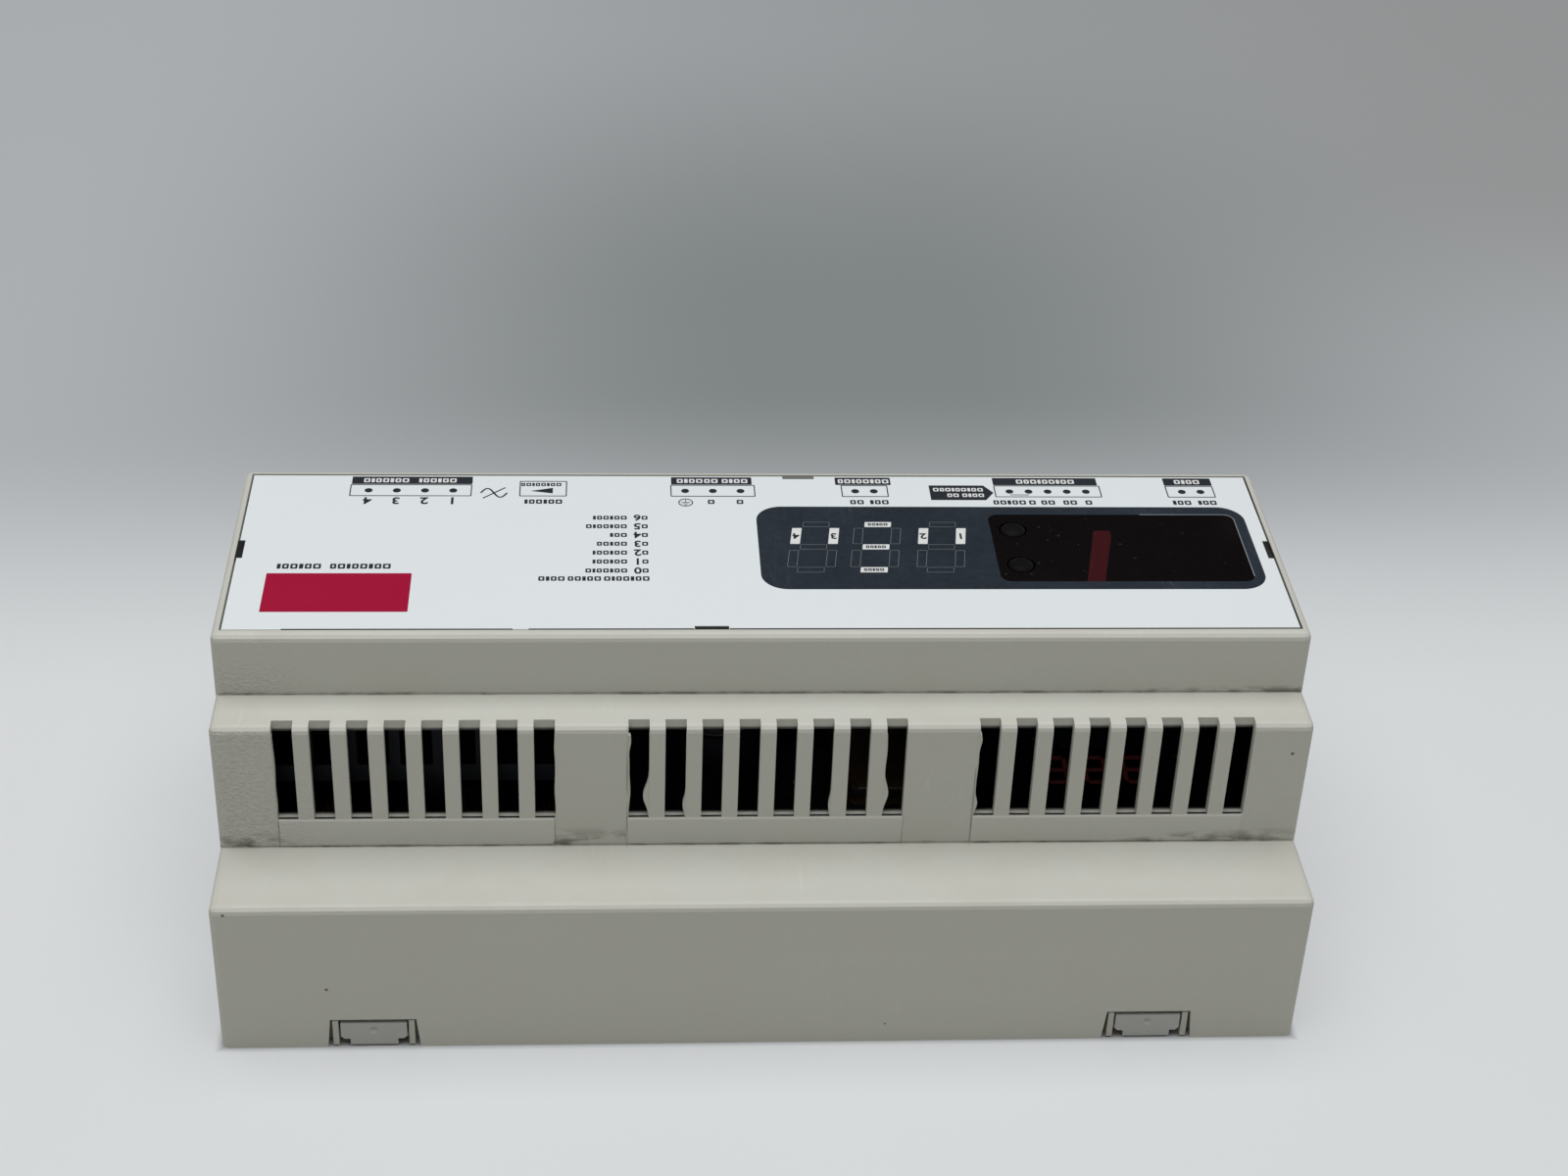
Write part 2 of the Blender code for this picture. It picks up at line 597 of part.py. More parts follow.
def face_cutters():
    """The panel's seat, the opening below the window and the slots for the panel's legs."""
    seat = box(
        "panel_seat",
        (-RECESS_X, RECESS_NEAR, PANEL_SEAT),
        (RECESS_X, RECESS_FAR, FACE_HEIGHT + PAST),
    )
    around = WINDOW_FLANGE + FIT
    opening = box(
        "window_opening",
        (WINDOW_LOW_X - around, WINDOW_LOW_Y - around, FACE_CEILING - PAST),
        (WINDOW_HIGH_X + around, WINDOW_HIGH_Y + around, PANEL_SEAT + OVERLAP),
    )
    slots = []
    half_x = LEG_LENGTH / 2 + FIT
    half_y = LEG_THICKNESS / 2 + FIT
    for x, y, _ in leg_places():
        low = (x - half_x, y - half_y, FACE_CEILING - PAST)
        slots.append(box("leg_slot", low, (x + half_x, y + half_y, PANEL_SEAT + OVERLAP)))
    return [seat, opening, *slots]


def terminal_cutters():
    """A window in the far wall for each wire entry and a hole in the ledge for each screw."""
    cutters = []
    screw_y = INNER_FAR - FIT - BLOCK_DEPTH / 2
    entry_bottom = BOARD_TOP + ENTRY_ABOVE_BOARD - FIT
    for block in BLOCKS:
        style = block.style
        half = style.entry_width / 2 + FIT / 2
        for x in block.way_centres():
            low = (x - half, INNER_FAR - PAST, entry_bottom)
            high = (x + half, FAR + PAST, entry_bottom + style.entry_height + FIT)
            cutters.append(box("wire_window", low, high))
            below = (x, screw_y, LEDGE_CEILING - PAST)
            above = (x, screw_y, LEDGE_HEIGHT + PAST)
            cutters.append(cylinder("screw_hole", style.well_radius, below, above))
    return cutters


def notch_outline(x):
    """The opening around a clip's front as (x, z) pairs, wider at its foot."""
    half = CLIP_WIDTH / 2 + 2 * FIT + GUIDE_BAR_WALL
    foot = half + NOTCH_FLARE * (1 + PAST / RAIL_DEPTH)
    top = RAIL_DEPTH + FIT
    return [(x - foot, -PAST), (x + foot, -PAST), (x + half, top), (x - half, top)]


def lower_cutters():
    """The rail's way through the end walls, the clips' notches and the latch windows."""
    cutters = []
    for side in (-1, 1):
        outer = side * (END + PAST)
        inner = side * (INNER_END - PAST)
        low_x, high_x = min(outer, inner), max(outer, inner)
        cutters.append(box("rail_notch", (low_x, -CHANNEL, -PAST), (high_x, CHANNEL, RAIL_DEPTH)))
        for y in (-LATCH_OFFSET, LATCH_OFFSET):
            half = LATCH_WIDTH / 2 + FIT
            low = (low_x, y - half, LATCH_BOTTOM - FIT)
            high = (high_x, y + half, LATCH_BOTTOM + LATCH_HEIGHT + FIT)
            cutters.append(box("latch_window", low, high))
        outline = notch_outline(side * CLIP_X)
        cutters.append(prism("clip_notch", outline, NEAR - PAST, INNER_NEAR + PAST, "Y"))
    return cutters


def build_hood():
    """The stepped hood: rounded outside, even walls inside, open at the bottom."""
    hood = prism(
        "housing_shell",
        hood_outline(0.0, 0.0, FACE_HEIGHT),
        -END,
        END,
        "X",
        HOOD_PLASTIC,
        node=True,
        bevel=EDGE_RADIUS,
    )
    hollow = prism("hollow", hood_outline(WALL, -PAST, FACE_CEILING), -INNER_END, INNER_END, "X")
    cut(hood, [hollow])
    cut(hood, face_cutters())
    cut(hood, vent_cutters())
    cut(hood, terminal_cutters() + lower_cutters())


def post_places():
    """(x, y, is_screw) of the eight board posts: screws on one diagonal, pegs on the other."""
    outer = BOARD_OUTER - POST_INSET
    spans = ((-outer, POWER_BOARD_END - POST_INSET), (CONTROL_BOARD_END + POST_INSET, outer))
    places = []
    for low_x, high_x in spans:
        places += [(low_x, POST_NEAR_Y, True), (high_x, POST_FAR_Y, True)]
        places += [(high_x, POST_NEAR_Y, False), (low_x, POST_FAR_Y, False)]
    return places


def base_solids():
    """What stands on the base's floor: rail block, clip guides, posts and catches.

    Each piece starts inside the floor or the upstand that it grows from.
    """
    edge_x = INNER_END - FIT
    in_wall = edge_x - UPSTAND_WALL / 2
    in_near_wall = INNER_NEAR + FIT + UPSTAND_WALL / 2
    root = FLOOR_THICKNESS / 2
    solids = [
        box("rail_block", (-in_wall, -CHANNEL_CHEEK, root), (in_wall, CHANNEL_CHEEK, ROOF_TOP))
    ]
    for side in (-1, 1):
        half = CLIP_WIDTH / 2 + FIT + GUIDE_BLOCK_WALL
        x = side * CLIP_X
        low = (x - half, in_near_wall, root)
        solids.append(box("guide_block", low, (x + half, -CHANNEL, ROOF_TOP - FIT)))
        for y in (-LATCH_OFFSET, LATCH_OFFSET):
            xs = sorted((side * in_wall, side * (edge_x + LATCH_DEPTH)))
            low = (xs[0], y - LATCH_WIDTH / 2, LATCH_BOTTOM)
            high = (xs[1], y + LATCH_WIDTH / 2, LATCH_BOTTOM + LATCH_HEIGHT)
            solids.append(box("catch", low, high))
        for bar in (-1, 1):
            inner = x + bar * (CLIP_WIDTH / 2 + FIT)
            xs = sorted((inner, inner + bar * GUIDE_BAR_WALL))
            low = (xs[0], CLIP_FRONT, CLIP_BOTTOM)
            solids.append(box("guide_bar", low, (xs[1], in_near_wall, RAIL_DEPTH)))
    for x, y, is_screw in post_places():
        top = BOARD_BOTTOM - FIT
        solids.append(cylinder("post", POST_RADIUS, (x, y, root), (x, y, top), ROUND))
        if not is_screw:
            peg_top = (x, y, BOARD_TOP + PEG_PROUD)
            solids.append(cylinder("peg", PEG_RADIUS, (x, y, ROOF_TOP), peg_top))
    return solids


def clip_channel(x):
    """The clip's way through the base, with lips under its flanges and a slot for its lug."""
    back = -CHANNEL + PAST
    wide = CLIP_WIDTH / 2 + FIT
    narrow = CLIP_KEEL_WIDTH / 2 + FIT
    lip = CLIP_FLANGE_BOTTOM - FIT
    lug_front = CLIP_FRONT + LUG_SETBACK - FIT - CLIP_TRAVEL
    lug_back = CLIP_FRONT + LUG_SETBACK + LUG_LENGTH + FIT
    lug_half = LUG_WIDTH / 2 + FIT
    return [
        box("clip_bore", (x - wide, NEAR - PAST, lip), (x + wide, back, CLIP_TOP + FIT)),
        box("keel_slot", (x - narrow, NEAR - PAST, -PAST), (x + narrow, back, CLIP_TOP)),
        box(
            "lug_slot",
            (x - lug_half, lug_front, CLIP_TOP - PAST),
            (x + lug_half, lug_back, CLIP_TOP + LUG_HEIGHT + FIT),
        ),
    ]


def hook(x):
    """A fixed hook on the far side of the rail channel, sloped below so that the rail slips in."""
    root = CHANNEL + RAIL_CHEEK / 2
    tip = CHANNEL - HOOK_REACH
    outline = [
        (root, HOOK_FOOT),
        (tip + HOOK_LEAD, HOOK_FOOT),
        (tip, HOOK_FOOT + HOOK_LEAD),
        (tip, LIP_TOP),
        (root, LIP_TOP),
    ]
    return prism("hook", outline, x - HOOK_WIDTH / 2, x + HOOK_WIDTH / 2, "X")


def build_base():
    """The base: a tray with the rail block, clip guides and the posts that carry the boards."""
    edge_x = INNER_END - FIT
    near, far = INNER_NEAR + FIT, INNER_FAR - FIT
    base = box("rail_base", (-edge_x, near, 0), (edge_x, far, UPSTAND_TOP), BASE_PLASTIC, node=True)
    inside = UPSTAND_WALL
    tray_low = (-edge_x + inside, near + inside, FLOOR_THICKNESS)
    cut(base, [box("tray", tray_low, (edge_x - inside, far - inside, UPSTAND_TOP + PAST))])
    join(base, base_solids())
    channel = box("channel", (-END - PAST, -CHANNEL, -PAST), (END + PAST, CHANNEL, RAIL_DEPTH))
    bores = []
    for x, y, is_screw in post_places():
        if is_screw:
            low = (x, y, SEAT - SCREW_LENGTH - FIT)
            bores.append(cylinder("screw_bore", SCREW_RADIUS + FIT, low, (x, y, BOARD_TOP)))
    clips = [piece for side in (-1, 1) for piece in clip_channel(side * CLIP_X)]
    cut(base, [channel, *clips, *bores])
    join(base, [hook(x) for x in (-CLIP_X, CLIP_X)])


def build_clip(name, x):
    """A sliding clip: keel and nose, wider flanges above, a stop lug and a gripping dimple."""
    body_back = -CHANNEL - FIT
    nose_tip = -CHANNEL + CLIP_REACH
    keel_outline = [
        (CLIP_FRONT, CLIP_BOTTOM),
        (nose_tip - CLIP_LEAD, CLIP_BOTTOM),
        (nose_tip, CLIP_BOTTOM + CLIP_LEAD),
        (nose_tip, LIP_TOP),
        (body_back, LIP_TOP),
        (body_back, CLIP_TOP),
        (CLIP_FRONT, CLIP_TOP),
    ]
    half_keel = CLIP_KEEL_WIDTH / 2
    clip = prism(name, keel_outline, x - half_keel, x + half_keel, "X", CLIP_PLASTIC, node=True)
    half = CLIP_WIDTH / 2
    lower = CLIP_FLANGE_BOTTOM
    flange_outline = [
        (x - half + CLIP_CORNER, lower),
        (x + half - CLIP_CORNER, lower),
        (x + half, lower + CLIP_CORNER),
        (x + half, CLIP_TOP),
        (x - half, CLIP_TOP),
        (x - half, lower + CLIP_CORNER),
    ]
    lug_front = CLIP_FRONT + LUG_SETBACK
    lug = box(
        "lug",
        (x - LUG_WIDTH / 2, lug_front, CLIP_TOP - PAST),
        (x + LUG_WIDTH / 2, lug_front + LUG_LENGTH, CLIP_TOP + LUG_HEIGHT),
    )
    join(clip, [prism("flanges", flange_outline, CLIP_FRONT, body_back, "Y"), lug])
    bm = bmesh.new()
    bmesh.ops.create_uvsphere(bm, u_segments=SMALL_ROUND, v_segments=DIMPLE_RINGS, radius=DIMPLE_RADIUS)
    centre = (x, CLIP_FRONT + DIMPLE_DEPTH - DIMPLE_RADIUS, CLIP_TOP - DIMPLE_BELOW_TOP)
    dimple = place("dimple", bm, centre, None, False)
    width, length, depth = DRIVER_SLOT
    slot_front = CLIP_FRONT + DRIVER_SLOT_SETBACK
    slot = box(
        "driver_slot",
        (x - width / 2, slot_front, CLIP_BOTTOM - PAST),
        (x + width / 2, slot_front + length, CLIP_BOTTOM + depth),
    )
    cut(clip, [dimple, slot])


def build_front_panel():
    """The label carrier: a plate with edge notches, the window's opening and six snap legs."""
    low_x, high_x = -RECESS_X + FIT, RECESS_X - FIT
    near, far = RECESS_NEAR + FIT, RECESS_FAR - FIT
    panel = box(
        "front_panel", (low_x, near, PANEL_BOTTOM), (high_x, far, PANEL_TOP), LABEL_WHITE, node=True
    )
    legs = []
    overlap = PANEL_THICKNESS / 2
    for x, y, side in leg_places():
        foot = FACE_CEILING - FIT - LEG_BARB_HEIGHT
        half = LEG_THICKNESS / 2
        low, high = (x - LEG_LENGTH / 2, y - half), (x + LEG_LENGTH / 2, y + half)
        legs.append(box("leg", (*low, foot), (*high, PANEL_BOTTOM + overlap)))
        ys = sorted((y, y + side * (half + FIT + LEG_BARB)))
        top = foot + LEG_BARB_HEIGHT
        legs.append(box("barb", (low[0], ys[0], foot), (high[0], ys[1], top)))
    join(panel, legs)
    middle = (near + far) / 2
    half = PANEL_NOTCH_LENGTH / 2
    depth = PANEL_NOTCH_DEPTH
    under, over = PANEL_BOTTOM - PAST, PANEL_TOP + PAST
    notches = (
        ((low_x - PAST, middle - half), (low_x + depth, middle + half)),
        ((high_x - depth, middle - half), (high_x + PAST, middle + half)),
        ((PANEL_NOTCH_NEAR_X - half, near - PAST), (PANEL_NOTCH_NEAR_X + half, near + depth)),
        ((PANEL_NOTCH_FAR_X - half, far - depth), (PANEL_NOTCH_FAR_X + half, far + PAST)),
    )
    cutters = [box("edge_notch", (*low, under), (*high, over)) for low, high in notches]
    low = (WINDOW_LOW_X, WINDOW_LOW_Y, under)
    cutters.append(box("window_cut", low, (WINDOW_HIGH_X, WINDOW_HIGH_Y, over)))
    cut(panel, cutters)


def build_window():
    """The dark window: flush in the panel, with a flange behind it and two button holes."""
    window = box(
        "display_window",
        (WINDOW_LOW_X + FIT, WINDOW_LOW_Y + FIT, WINDOW_FLANGE_BOTTOM),
        (WINDOW_HIGH_X - FIT, WINDOW_HIGH_Y - FIT, PANEL_TOP),
        WINDOW_TINT,
        node=True,
    )
    flange = box(
        "flange",
        (WINDOW_LOW_X - WINDOW_FLANGE, WINDOW_LOW_Y - WINDOW_FLANGE, WINDOW_FLANGE_BOTTOM),
        (WINDOW_HIGH_X + WINDOW_FLANGE, WINDOW_HIGH_Y + WINDOW_FLANGE, WINDOW_FLANGE_TOP),
    )
    join(window, [flange])
    holes = []
    for y in BUTTON_Y:
        low = (BUTTON_X, y, WINDOW_FLANGE_BOTTOM - PAST)
        high = (BUTTON_X, y, PANEL_TOP + PAST)
        holes.append(cylinder("button_hole", BUTTON_RADIUS + FIT, low, high, ROUND))
    cut(window, holes)


def build_buttons():
    """Two buttons, each turned in one piece: cap, stop collar and a long rod to its switch."""
    top = PANEL_TOP + BUTTON_PROUD
    collar_bottom = COLLAR_TOP - BUTTON_COLLAR_HEIGHT
    profile = [
        (0.0, ROD_END),
        (BUTTON_ROD_RADIUS, ROD_END),
        (BUTTON_ROD_RADIUS, collar_bottom),
        (BUTTON_COLLAR_RADIUS, collar_bottom),
        (BUTTON_COLLAR_RADIUS, COLLAR_TOP),
        (BUTTON_RADIUS, COLLAR_TOP),
        (BUTTON_RADIUS, top - BUTTON_EDGE),
        (BUTTON_RADIUS - BUTTON_EDGE, top),
        (0.0, top),
    ]
    for number, y in enumerate(BUTTON_Y, 1):
        at = (BUTTON_X, y, 0)
        turned(f"push_button_{number}", profile, at, BUTTON_BLACK, True, ROUND)


def build_switches():
    """The two switches under the rods: a square body and a collar that the rod enters."""
    half = SWITCH_SIZE / 2
    collar_radius = BORE_RADIUS + SWITCH_COLLAR_WALL
    for number, y in enumerate(BUTTON_Y, 1):
        low = (BUTTON_X - half, y - half, SEAT)
        high = (BUTTON_X + half, y + half, SEAT + SWITCH_HEIGHT)
        switch = box(f"button_switch_{number}", low, high, SWITCH_BODY, True)
        foot = (BUTTON_X, y, SEAT + SWITCH_HEIGHT / 2)
        join(switch, [cylinder("collar", collar_radius, foot, (BUTTON_X, y, SWITCH_TOP), ROUND)])
        floor = (BUTTON_X, y, ROD_END - BUTTON_TRAVEL - FIT)
        rim = (BUTTON_X, y, SWITCH_TOP + PAST)
        cut(switch, [cylinder("rod_bore", BORE_RADIUS, floor, rim, ROUND)])


def build_button_guide():
    """The guide on the control board: two decks with a bore for each rod, on two end legs."""
    near = min(BUTTON_Y) - GUIDE_MARGIN - GUIDE_LEG
    far = max(BUTTON_Y) + GUIDE_MARGIN + GUIDE_LEG
    top = SEAT + GUIDE_HEIGHT
    low_x, high_x = GUIDE_LOW_X, GUIDE_LOW_X + GUIDE_WIDTH
    guide = box("button_guide", (low_x, near, top - GUIDE_DECK), (high_x, far, top), GUIDE_BLACK, True)
    low_deck = SEAT + GUIDE_LOW_DECK
    pieces = [box("deck", (low_x, near, low_deck), (high_x, far, low_deck + GUIDE_DECK))]
    for y_low, y_high in ((near, near + GUIDE_LEG), (far - GUIDE_LEG, far)):
        pieces.append(box("leg", (low_x, y_low, SEAT), (high_x, y_high, top - GUIDE_DECK / 2)))
    join(guide, pieces)
    bores = []
    for y in BUTTON_Y:
        low = (BUTTON_X, y, low_deck - PAST)
        bores.append(cylinder("bore", BORE_RADIUS, low, (BUTTON_X, y, top + PAST), ROUND))
    cut(guide, bores)


def build_display():
    """The three-digit display module, with a shallow recess for each digit."""
    half_x = ((DIGITS - 1) * DIGIT_PITCH + DIGIT_WIDTH) / 2 + DISPLAY_MARGIN
    half_y = DIGIT_HEIGHT / 2 + DISPLAY_MARGIN
    top = SEAT + DISPLAY_HEIGHT
    display = box(
        "digit_display",
        (DISPLAY_X - half_x, DISPLAY_Y - half_y, SEAT),
        (DISPLAY_X + half_x, DISPLAY_Y + half_y, top),
        DISPLAY_BODY,
        True,
    )
    recesses = []
    for digit in range(DIGITS):
        x = DISPLAY_X + (digit - (DIGITS - 1) / 2) * DIGIT_PITCH
        low = (x - DIGIT_WIDTH / 2, DISPLAY_Y - DIGIT_HEIGHT / 2, top - DIGIT_RECESS)
        high = (x + DIGIT_WIDTH / 2, DISPLAY_Y + DIGIT_HEIGHT / 2, top + PAST)
        recesses.append(box("digit", low, high))
    cut(display, recesses)


def build_boards():
    """The power board on the left and the control board on the right, holed for the posts."""
    near, far = INNER_NEAR + BOARD_EDGE_GAP, INNER_FAR - BOARD_EDGE_GAP
    spans = {
        "power_board": (-BOARD_OUTER, POWER_BOARD_END),
        "control_board": (CONTROL_BOARD_END, BOARD_OUTER),
    }
    for name, (low_x, high_x) in spans.items():
        low, high = (low_x, near, BOARD_BOTTOM), (high_x, far, BOARD_TOP)
        board = box(name, low, high, BOARD_GREEN, node=True)
        holes = []
        for x, y, is_screw in post_places():
            if low_x < x < high_x:
                radius = (SCREW_RADIUS if is_screw else PEG_RADIUS) + FIT
                under, over = (x, y, BOARD_BOTTOM - PAST), (x, y, BOARD_TOP + PAST)
                holes.append(cylinder("board_hole", radius, under, over))
        cut(board, holes)


def build_board_screws():
    """A pan-head screw with a cross slot on each screwed post."""
    head_top = SEAT + SCREW_HEAD_HEIGHT
    tip = SEAT - SCREW_LENGTH
    profile = [
        (0.0, tip),
        (SCREW_TIP_RADIUS, tip),
        (SCREW_RADIUS, tip + SCREW_RADIUS),
        (SCREW_RADIUS, SEAT),
        (SCREW_HEAD_RADIUS, SEAT),
        (SCREW_HEAD_RADIUS, head_top - SCREW_HEAD_CROWN),
        (SCREW_CROWN_RADIUS, head_top),
        (0.0, head_top),
    ]
    screwed = [(x, y) for x, y, is_screw in post_places() if is_screw]
    for number, (x, y) in enumerate(screwed, 1):
        screw = turned(f"board_screw_{number}", profile, (x, y, 0), SCREW_STEEL, True, SMALL_ROUND)
        arm, thin = SCREW_CROSS, SCREW_SLOT / 2
        floor, over = head_top - SCREW_SLOT_DEPTH, head_top + PAST
        slots = [
            box("slot", (x - half_x, y - half_y, floor), (x + half_x, y + half_y, over))
            for half_x, half_y in ((arm, thin), (thin, arm))
        ]
        cut(screw, slots)


def build_terminal_block(block):
    """One terminal block with a wire entry and a screw well for each way, and its screws."""
    style = block.style
    far = INNER_FAR - FIT
    near = far - BLOCK_DEPTH
    middle_y = (near + far) / 2
    top = LEDGE_CEILING - FIT
    low = (block.x - block.width / 2, near, SEAT)
    body = box(block.name, low, (block.x + block.width / 2, far, top), TERMINAL_GREY, True)
    entry_bottom = BOARD_TOP + ENTRY_ABOVE_BOARD
    entry_top = entry_bottom + style.entry_height
    well_bottom = entry_top + WELL_FLOOR
    cutters = []
    for number, x in enumerate(block.way_centres(), 1):
        half = style.entry_width / 2
        entry_low = (x - half, far - style.entry_depth, entry_bottom)
        cutters.append(box("entry", entry_low, (x + half, far + PAST, entry_top)))
        foot, rim = (x, middle_y, well_bottom), (x, middle_y, top + PAST)
        cutters.append(cylinder("well", style.well_radius, foot, rim))
        name = block.name.replace("_block", f"_screw_{number}")
        build_clamp_screw(name, (x, middle_y, well_bottom + FIT), style.well_radius - FIT)
    cut(body, cutters)


def build_clamp_screw(name, foot, radius):
    """The slotted screw that stands in one well."""
    x, y, low = foot
    high = low + CLAMP_SCREW_HEIGHT
    screw = cylinder(name, radius, foot, (x, y, high), SMALL_ROUND, SCREW_STEEL, True)
    half = CLAMP_SLOT / 2
    slot_low = (x - radius - PAST, y - half, high - CLAMP_SLOT_DEPTH)
    cut(screw, [box("slot", slot_low, (x + radius + PAST, y + half, high + PAST))])


def build_heat_sink():
    """The extruded heat sink: a web on the power board, a plate over it and a row of fins."""
    plate_top = SINK_PLATE_BOTTOM + SINK_PLATE
    fin_top = plate_top + SINK_FIN_HEIGHT
    step = (SINK_RIGHT - SINK_LEFT - SINK_FIN_THICKNESS) / (SINK_FINS - 1)
    outline = [
        (SINK_LEFT, SINK_PLATE_BOTTOM),
        (SINK_X - SINK_WEB / 2, SINK_PLATE_BOTTOM),
        (SINK_X - SINK_WEB / 2, SEAT),
        (SINK_X + SINK_WEB / 2, SEAT),
        (SINK_X + SINK_WEB / 2, SINK_PLATE_BOTTOM),
        (SINK_RIGHT, SINK_PLATE_BOTTOM),
    ]
    for fin in reversed(range(SINK_FINS)):
        low_x = SINK_LEFT + fin * step
        high_x = low_x + SINK_FIN_THICKNESS
        if fin < SINK_FINS - 1:
            outline.append((high_x, plate_top))
        outline += [(high_x, fin_top), (low_x, fin_top)]
        if fin > 0:
            outline.append((low_x, plate_top))
    half = SINK_LENGTH / 2
    prism("heat_sink", outline, -half, half, "Y", SINK_ALUMINIUM, node=True)


def build_transistors():
    """A row of power transistors on each side of the heat sink's web, tabs against it."""
    number = 0
    body_thickness, body_height = TRANSISTOR_BODY
    tab_thickness, tab_height = TRANSISTOR_TAB
    bottom = SEAT + TRANSISTOR_LEG_LENGTH
    for side in (-1, 1):
        face = SINK_X + side * (SINK_WEB / 2 + FIT)
        for place_index in range(TRANSISTORS_PER_SIDE):
            number += 1
            y = (place_index - (TRANSISTORS_PER_SIDE - 1) / 2) * TRANSISTOR_PITCH
            near, far = y - TRANSISTOR_WIDTH / 2, y + TRANSISTOR_WIDTH / 2
            body_xs = sorted((face, face + side * body_thickness))
            transistor = box(
                f"power_transistor_{number}",
                (body_xs[0], near, bottom),
                (body_xs[1], far, bottom + body_height),
                EPOXY_BLACK,
                True,
            )
            tab_xs = sorted((face, face + side * tab_thickness))
            pieces = [box("tab", (tab_xs[0], near, bottom), (tab_xs[1], far, bottom + tab_height))]
            leg_middle = face + side * body_thickness / 2
            half = TRANSISTOR_LEG / 2
            for leg in (-1, 0, 1):
                leg_y = y + leg * TRANSISTOR_LEG_PITCH
                low = (leg_middle - half, leg_y - half, SEAT)
                high = (leg_middle + half, leg_y + half, bottom + TRANSISTOR_LEG)
                pieces.append(box("leg", low, high))
            join(transistor, pieces)
            hole_z = bottom + (body_height + tab_height) / 2
            ends = ((face - side * PAST, y, hole_z), (face + side * (tab_thickness + PAST), y, hole_z))
            cut(transistor, [cylinder("tab_hole", TRANSISTOR_HOLE_RADIUS, *ends)])


def build_chokes():
    """Four ring chokes lying flat on the power board, two on each side of the heat sink's web."""
    number = 0
    offset = CHOKE_START + CHOKE_OUTER
    for side in (-1, 1):
        for y in CHOKE_Y:
            number += 1
            bpy.ops.mesh.primitive_torus_add(
                major_segments=CHOKE_FACETS[0],
                minor_segments=CHOKE_FACETS[1],
                major_radius=CHOKE_OUTER - CHOKE_TUBE,
                minor_radius=CHOKE_TUBE,
                location=(SINK_X + side * offset, y, SEAT + CHOKE_TUBE),
            )
            choke = bpy.context.object
            choke.name = f"output_choke_{number}"
            choke.data.materials.append(WINDING_COPPER)
            for collection in list(choke.users_collection):
                collection.objects.unlink(choke)
            PARTS.objects.link(choke)


def build_transformer():
    """The supply transformer: a core around a taped coil, on a foot."""
    low_x, high_x, y = CORE_LOW_X, CORE_HIGH_X, TRANSFORMER_Y
    core_bottom = SEAT + TRANSFORMER_FOOT
    core = box(
        "supply_transformer",
        (low_x, y - CORE_DEPTH / 2, core_bottom),
        (high_x, y + CORE_DEPTH / 2, core_bottom + CORE_HEIGHT),
        TAPE_YELLOW,
        True,
    )
    coil_bottom = core_bottom + (CORE_HEIGHT - COIL_HEIGHT) / 2
    near, far = y - COIL_DEPTH / 2, y + COIL_DEPTH / 2
    coil = box(
        "coil",
        (low_x + COIL_INSET, near, coil_bottom),
        (high_x - COIL_INSET, far, coil_bottom + COIL_HEIGHT),
        bevel=COIL_EDGE,
    )
    foot = box(
        "foot",
        (low_x + COIL_INSET, near, SEAT),
        (high_x - COIL_INSET, far, core_bottom + OVERLAP),
    )
    join(core, [coil, foot])


def build_capacitors():
    """The tall bulk capacitor with its beaded can and the flat film capacitor."""
    radius, height = BULK_CAPACITOR_RADIUS, BULK_CAPACITOR_HEIGHT
    bead = BULK_CAPACITOR_BEAD
    profile = [
        (0.0, SEAT),
        (radius - bead, SEAT),
        (radius, SEAT + bead),
        (radius, SEAT + 3 * bead),
        (radius - bead, SEAT + 4 * bead),
        (radius, SEAT + 5 * bead),
        (radius, SEAT + height - bead),
        (radius - bead, SEAT + height),
        (0.0, SEAT + height),
    ]
    turned("bulk_capacitor", profile, (CAPACITORS_X, BULK_CAPACITOR_Y, 0), SLEEVE_BLACK, True, ROUND)
    x, y = CAPACITORS_X, FILM_CAPACITOR_Y
    size_x, size_y, size_z = FILM_CAPACITOR_SIZE
    low = (x - size_x / 2, y - size_y / 2, SEAT)
    high = (x + size_x / 2, y + size_y / 2, SEAT + size_z)
    box("film_capacitor", low, high, FILM_BOX, True, bevel=FILM_CAPACITOR_EDGE)


def build_fuse():
    """The glass fuse and the holder whose ears stand beside its two caps."""
    x, y = FUSE_AT
    axis_z = SEAT + HOLDER_BASE + FIT + FUSE_CAP_RADIUS
    half = FUSE_LENGTH / 2
    ends = ((x - half, y, axis_z), (x + half, y, axis_z))
    fuse = cylinder("mains_fuse", FUSE_GLASS_RADIUS, *ends, ROUND, FUSE_GLASS, True)
    caps = []
    for side in (-1, 1):
        inner = (x + side * (half - FUSE_CAP_LENGTH), y, axis_z)
        outer = (x + side * (half + FUSE_CAP_END), y, axis_z)
        caps.append(cylinder("cap", FUSE_CAP_RADIUS, inner, outer, ROUND))
    join(fuse, caps)
    length, thickness = HOLDER_EAR
    gap = FUSE_CAP_RADIUS + FIT
    width = gap + thickness
    low = (x - half, y - width, SEAT)
    holder = box("fuse_holder", low, (x + half, y + width, SEAT + HOLDER_BASE), HOLDER_BRASS, True)
    ears = []
    for end in (-1, 1):
        middle = x + end * (half - FUSE_CAP_LENGTH / 2)
        for side in (-1, 1):
            ys = sorted((y + side * gap, y + side * width))
            ear_low = (middle - length / 2, ys[0], SEAT + HOLDER_BASE / 2)
            ears.append(box("ear", ear_low, (middle + length / 2, ys[1], axis_z + FUSE_CAP_RADIUS)))
    join(holder, ears)


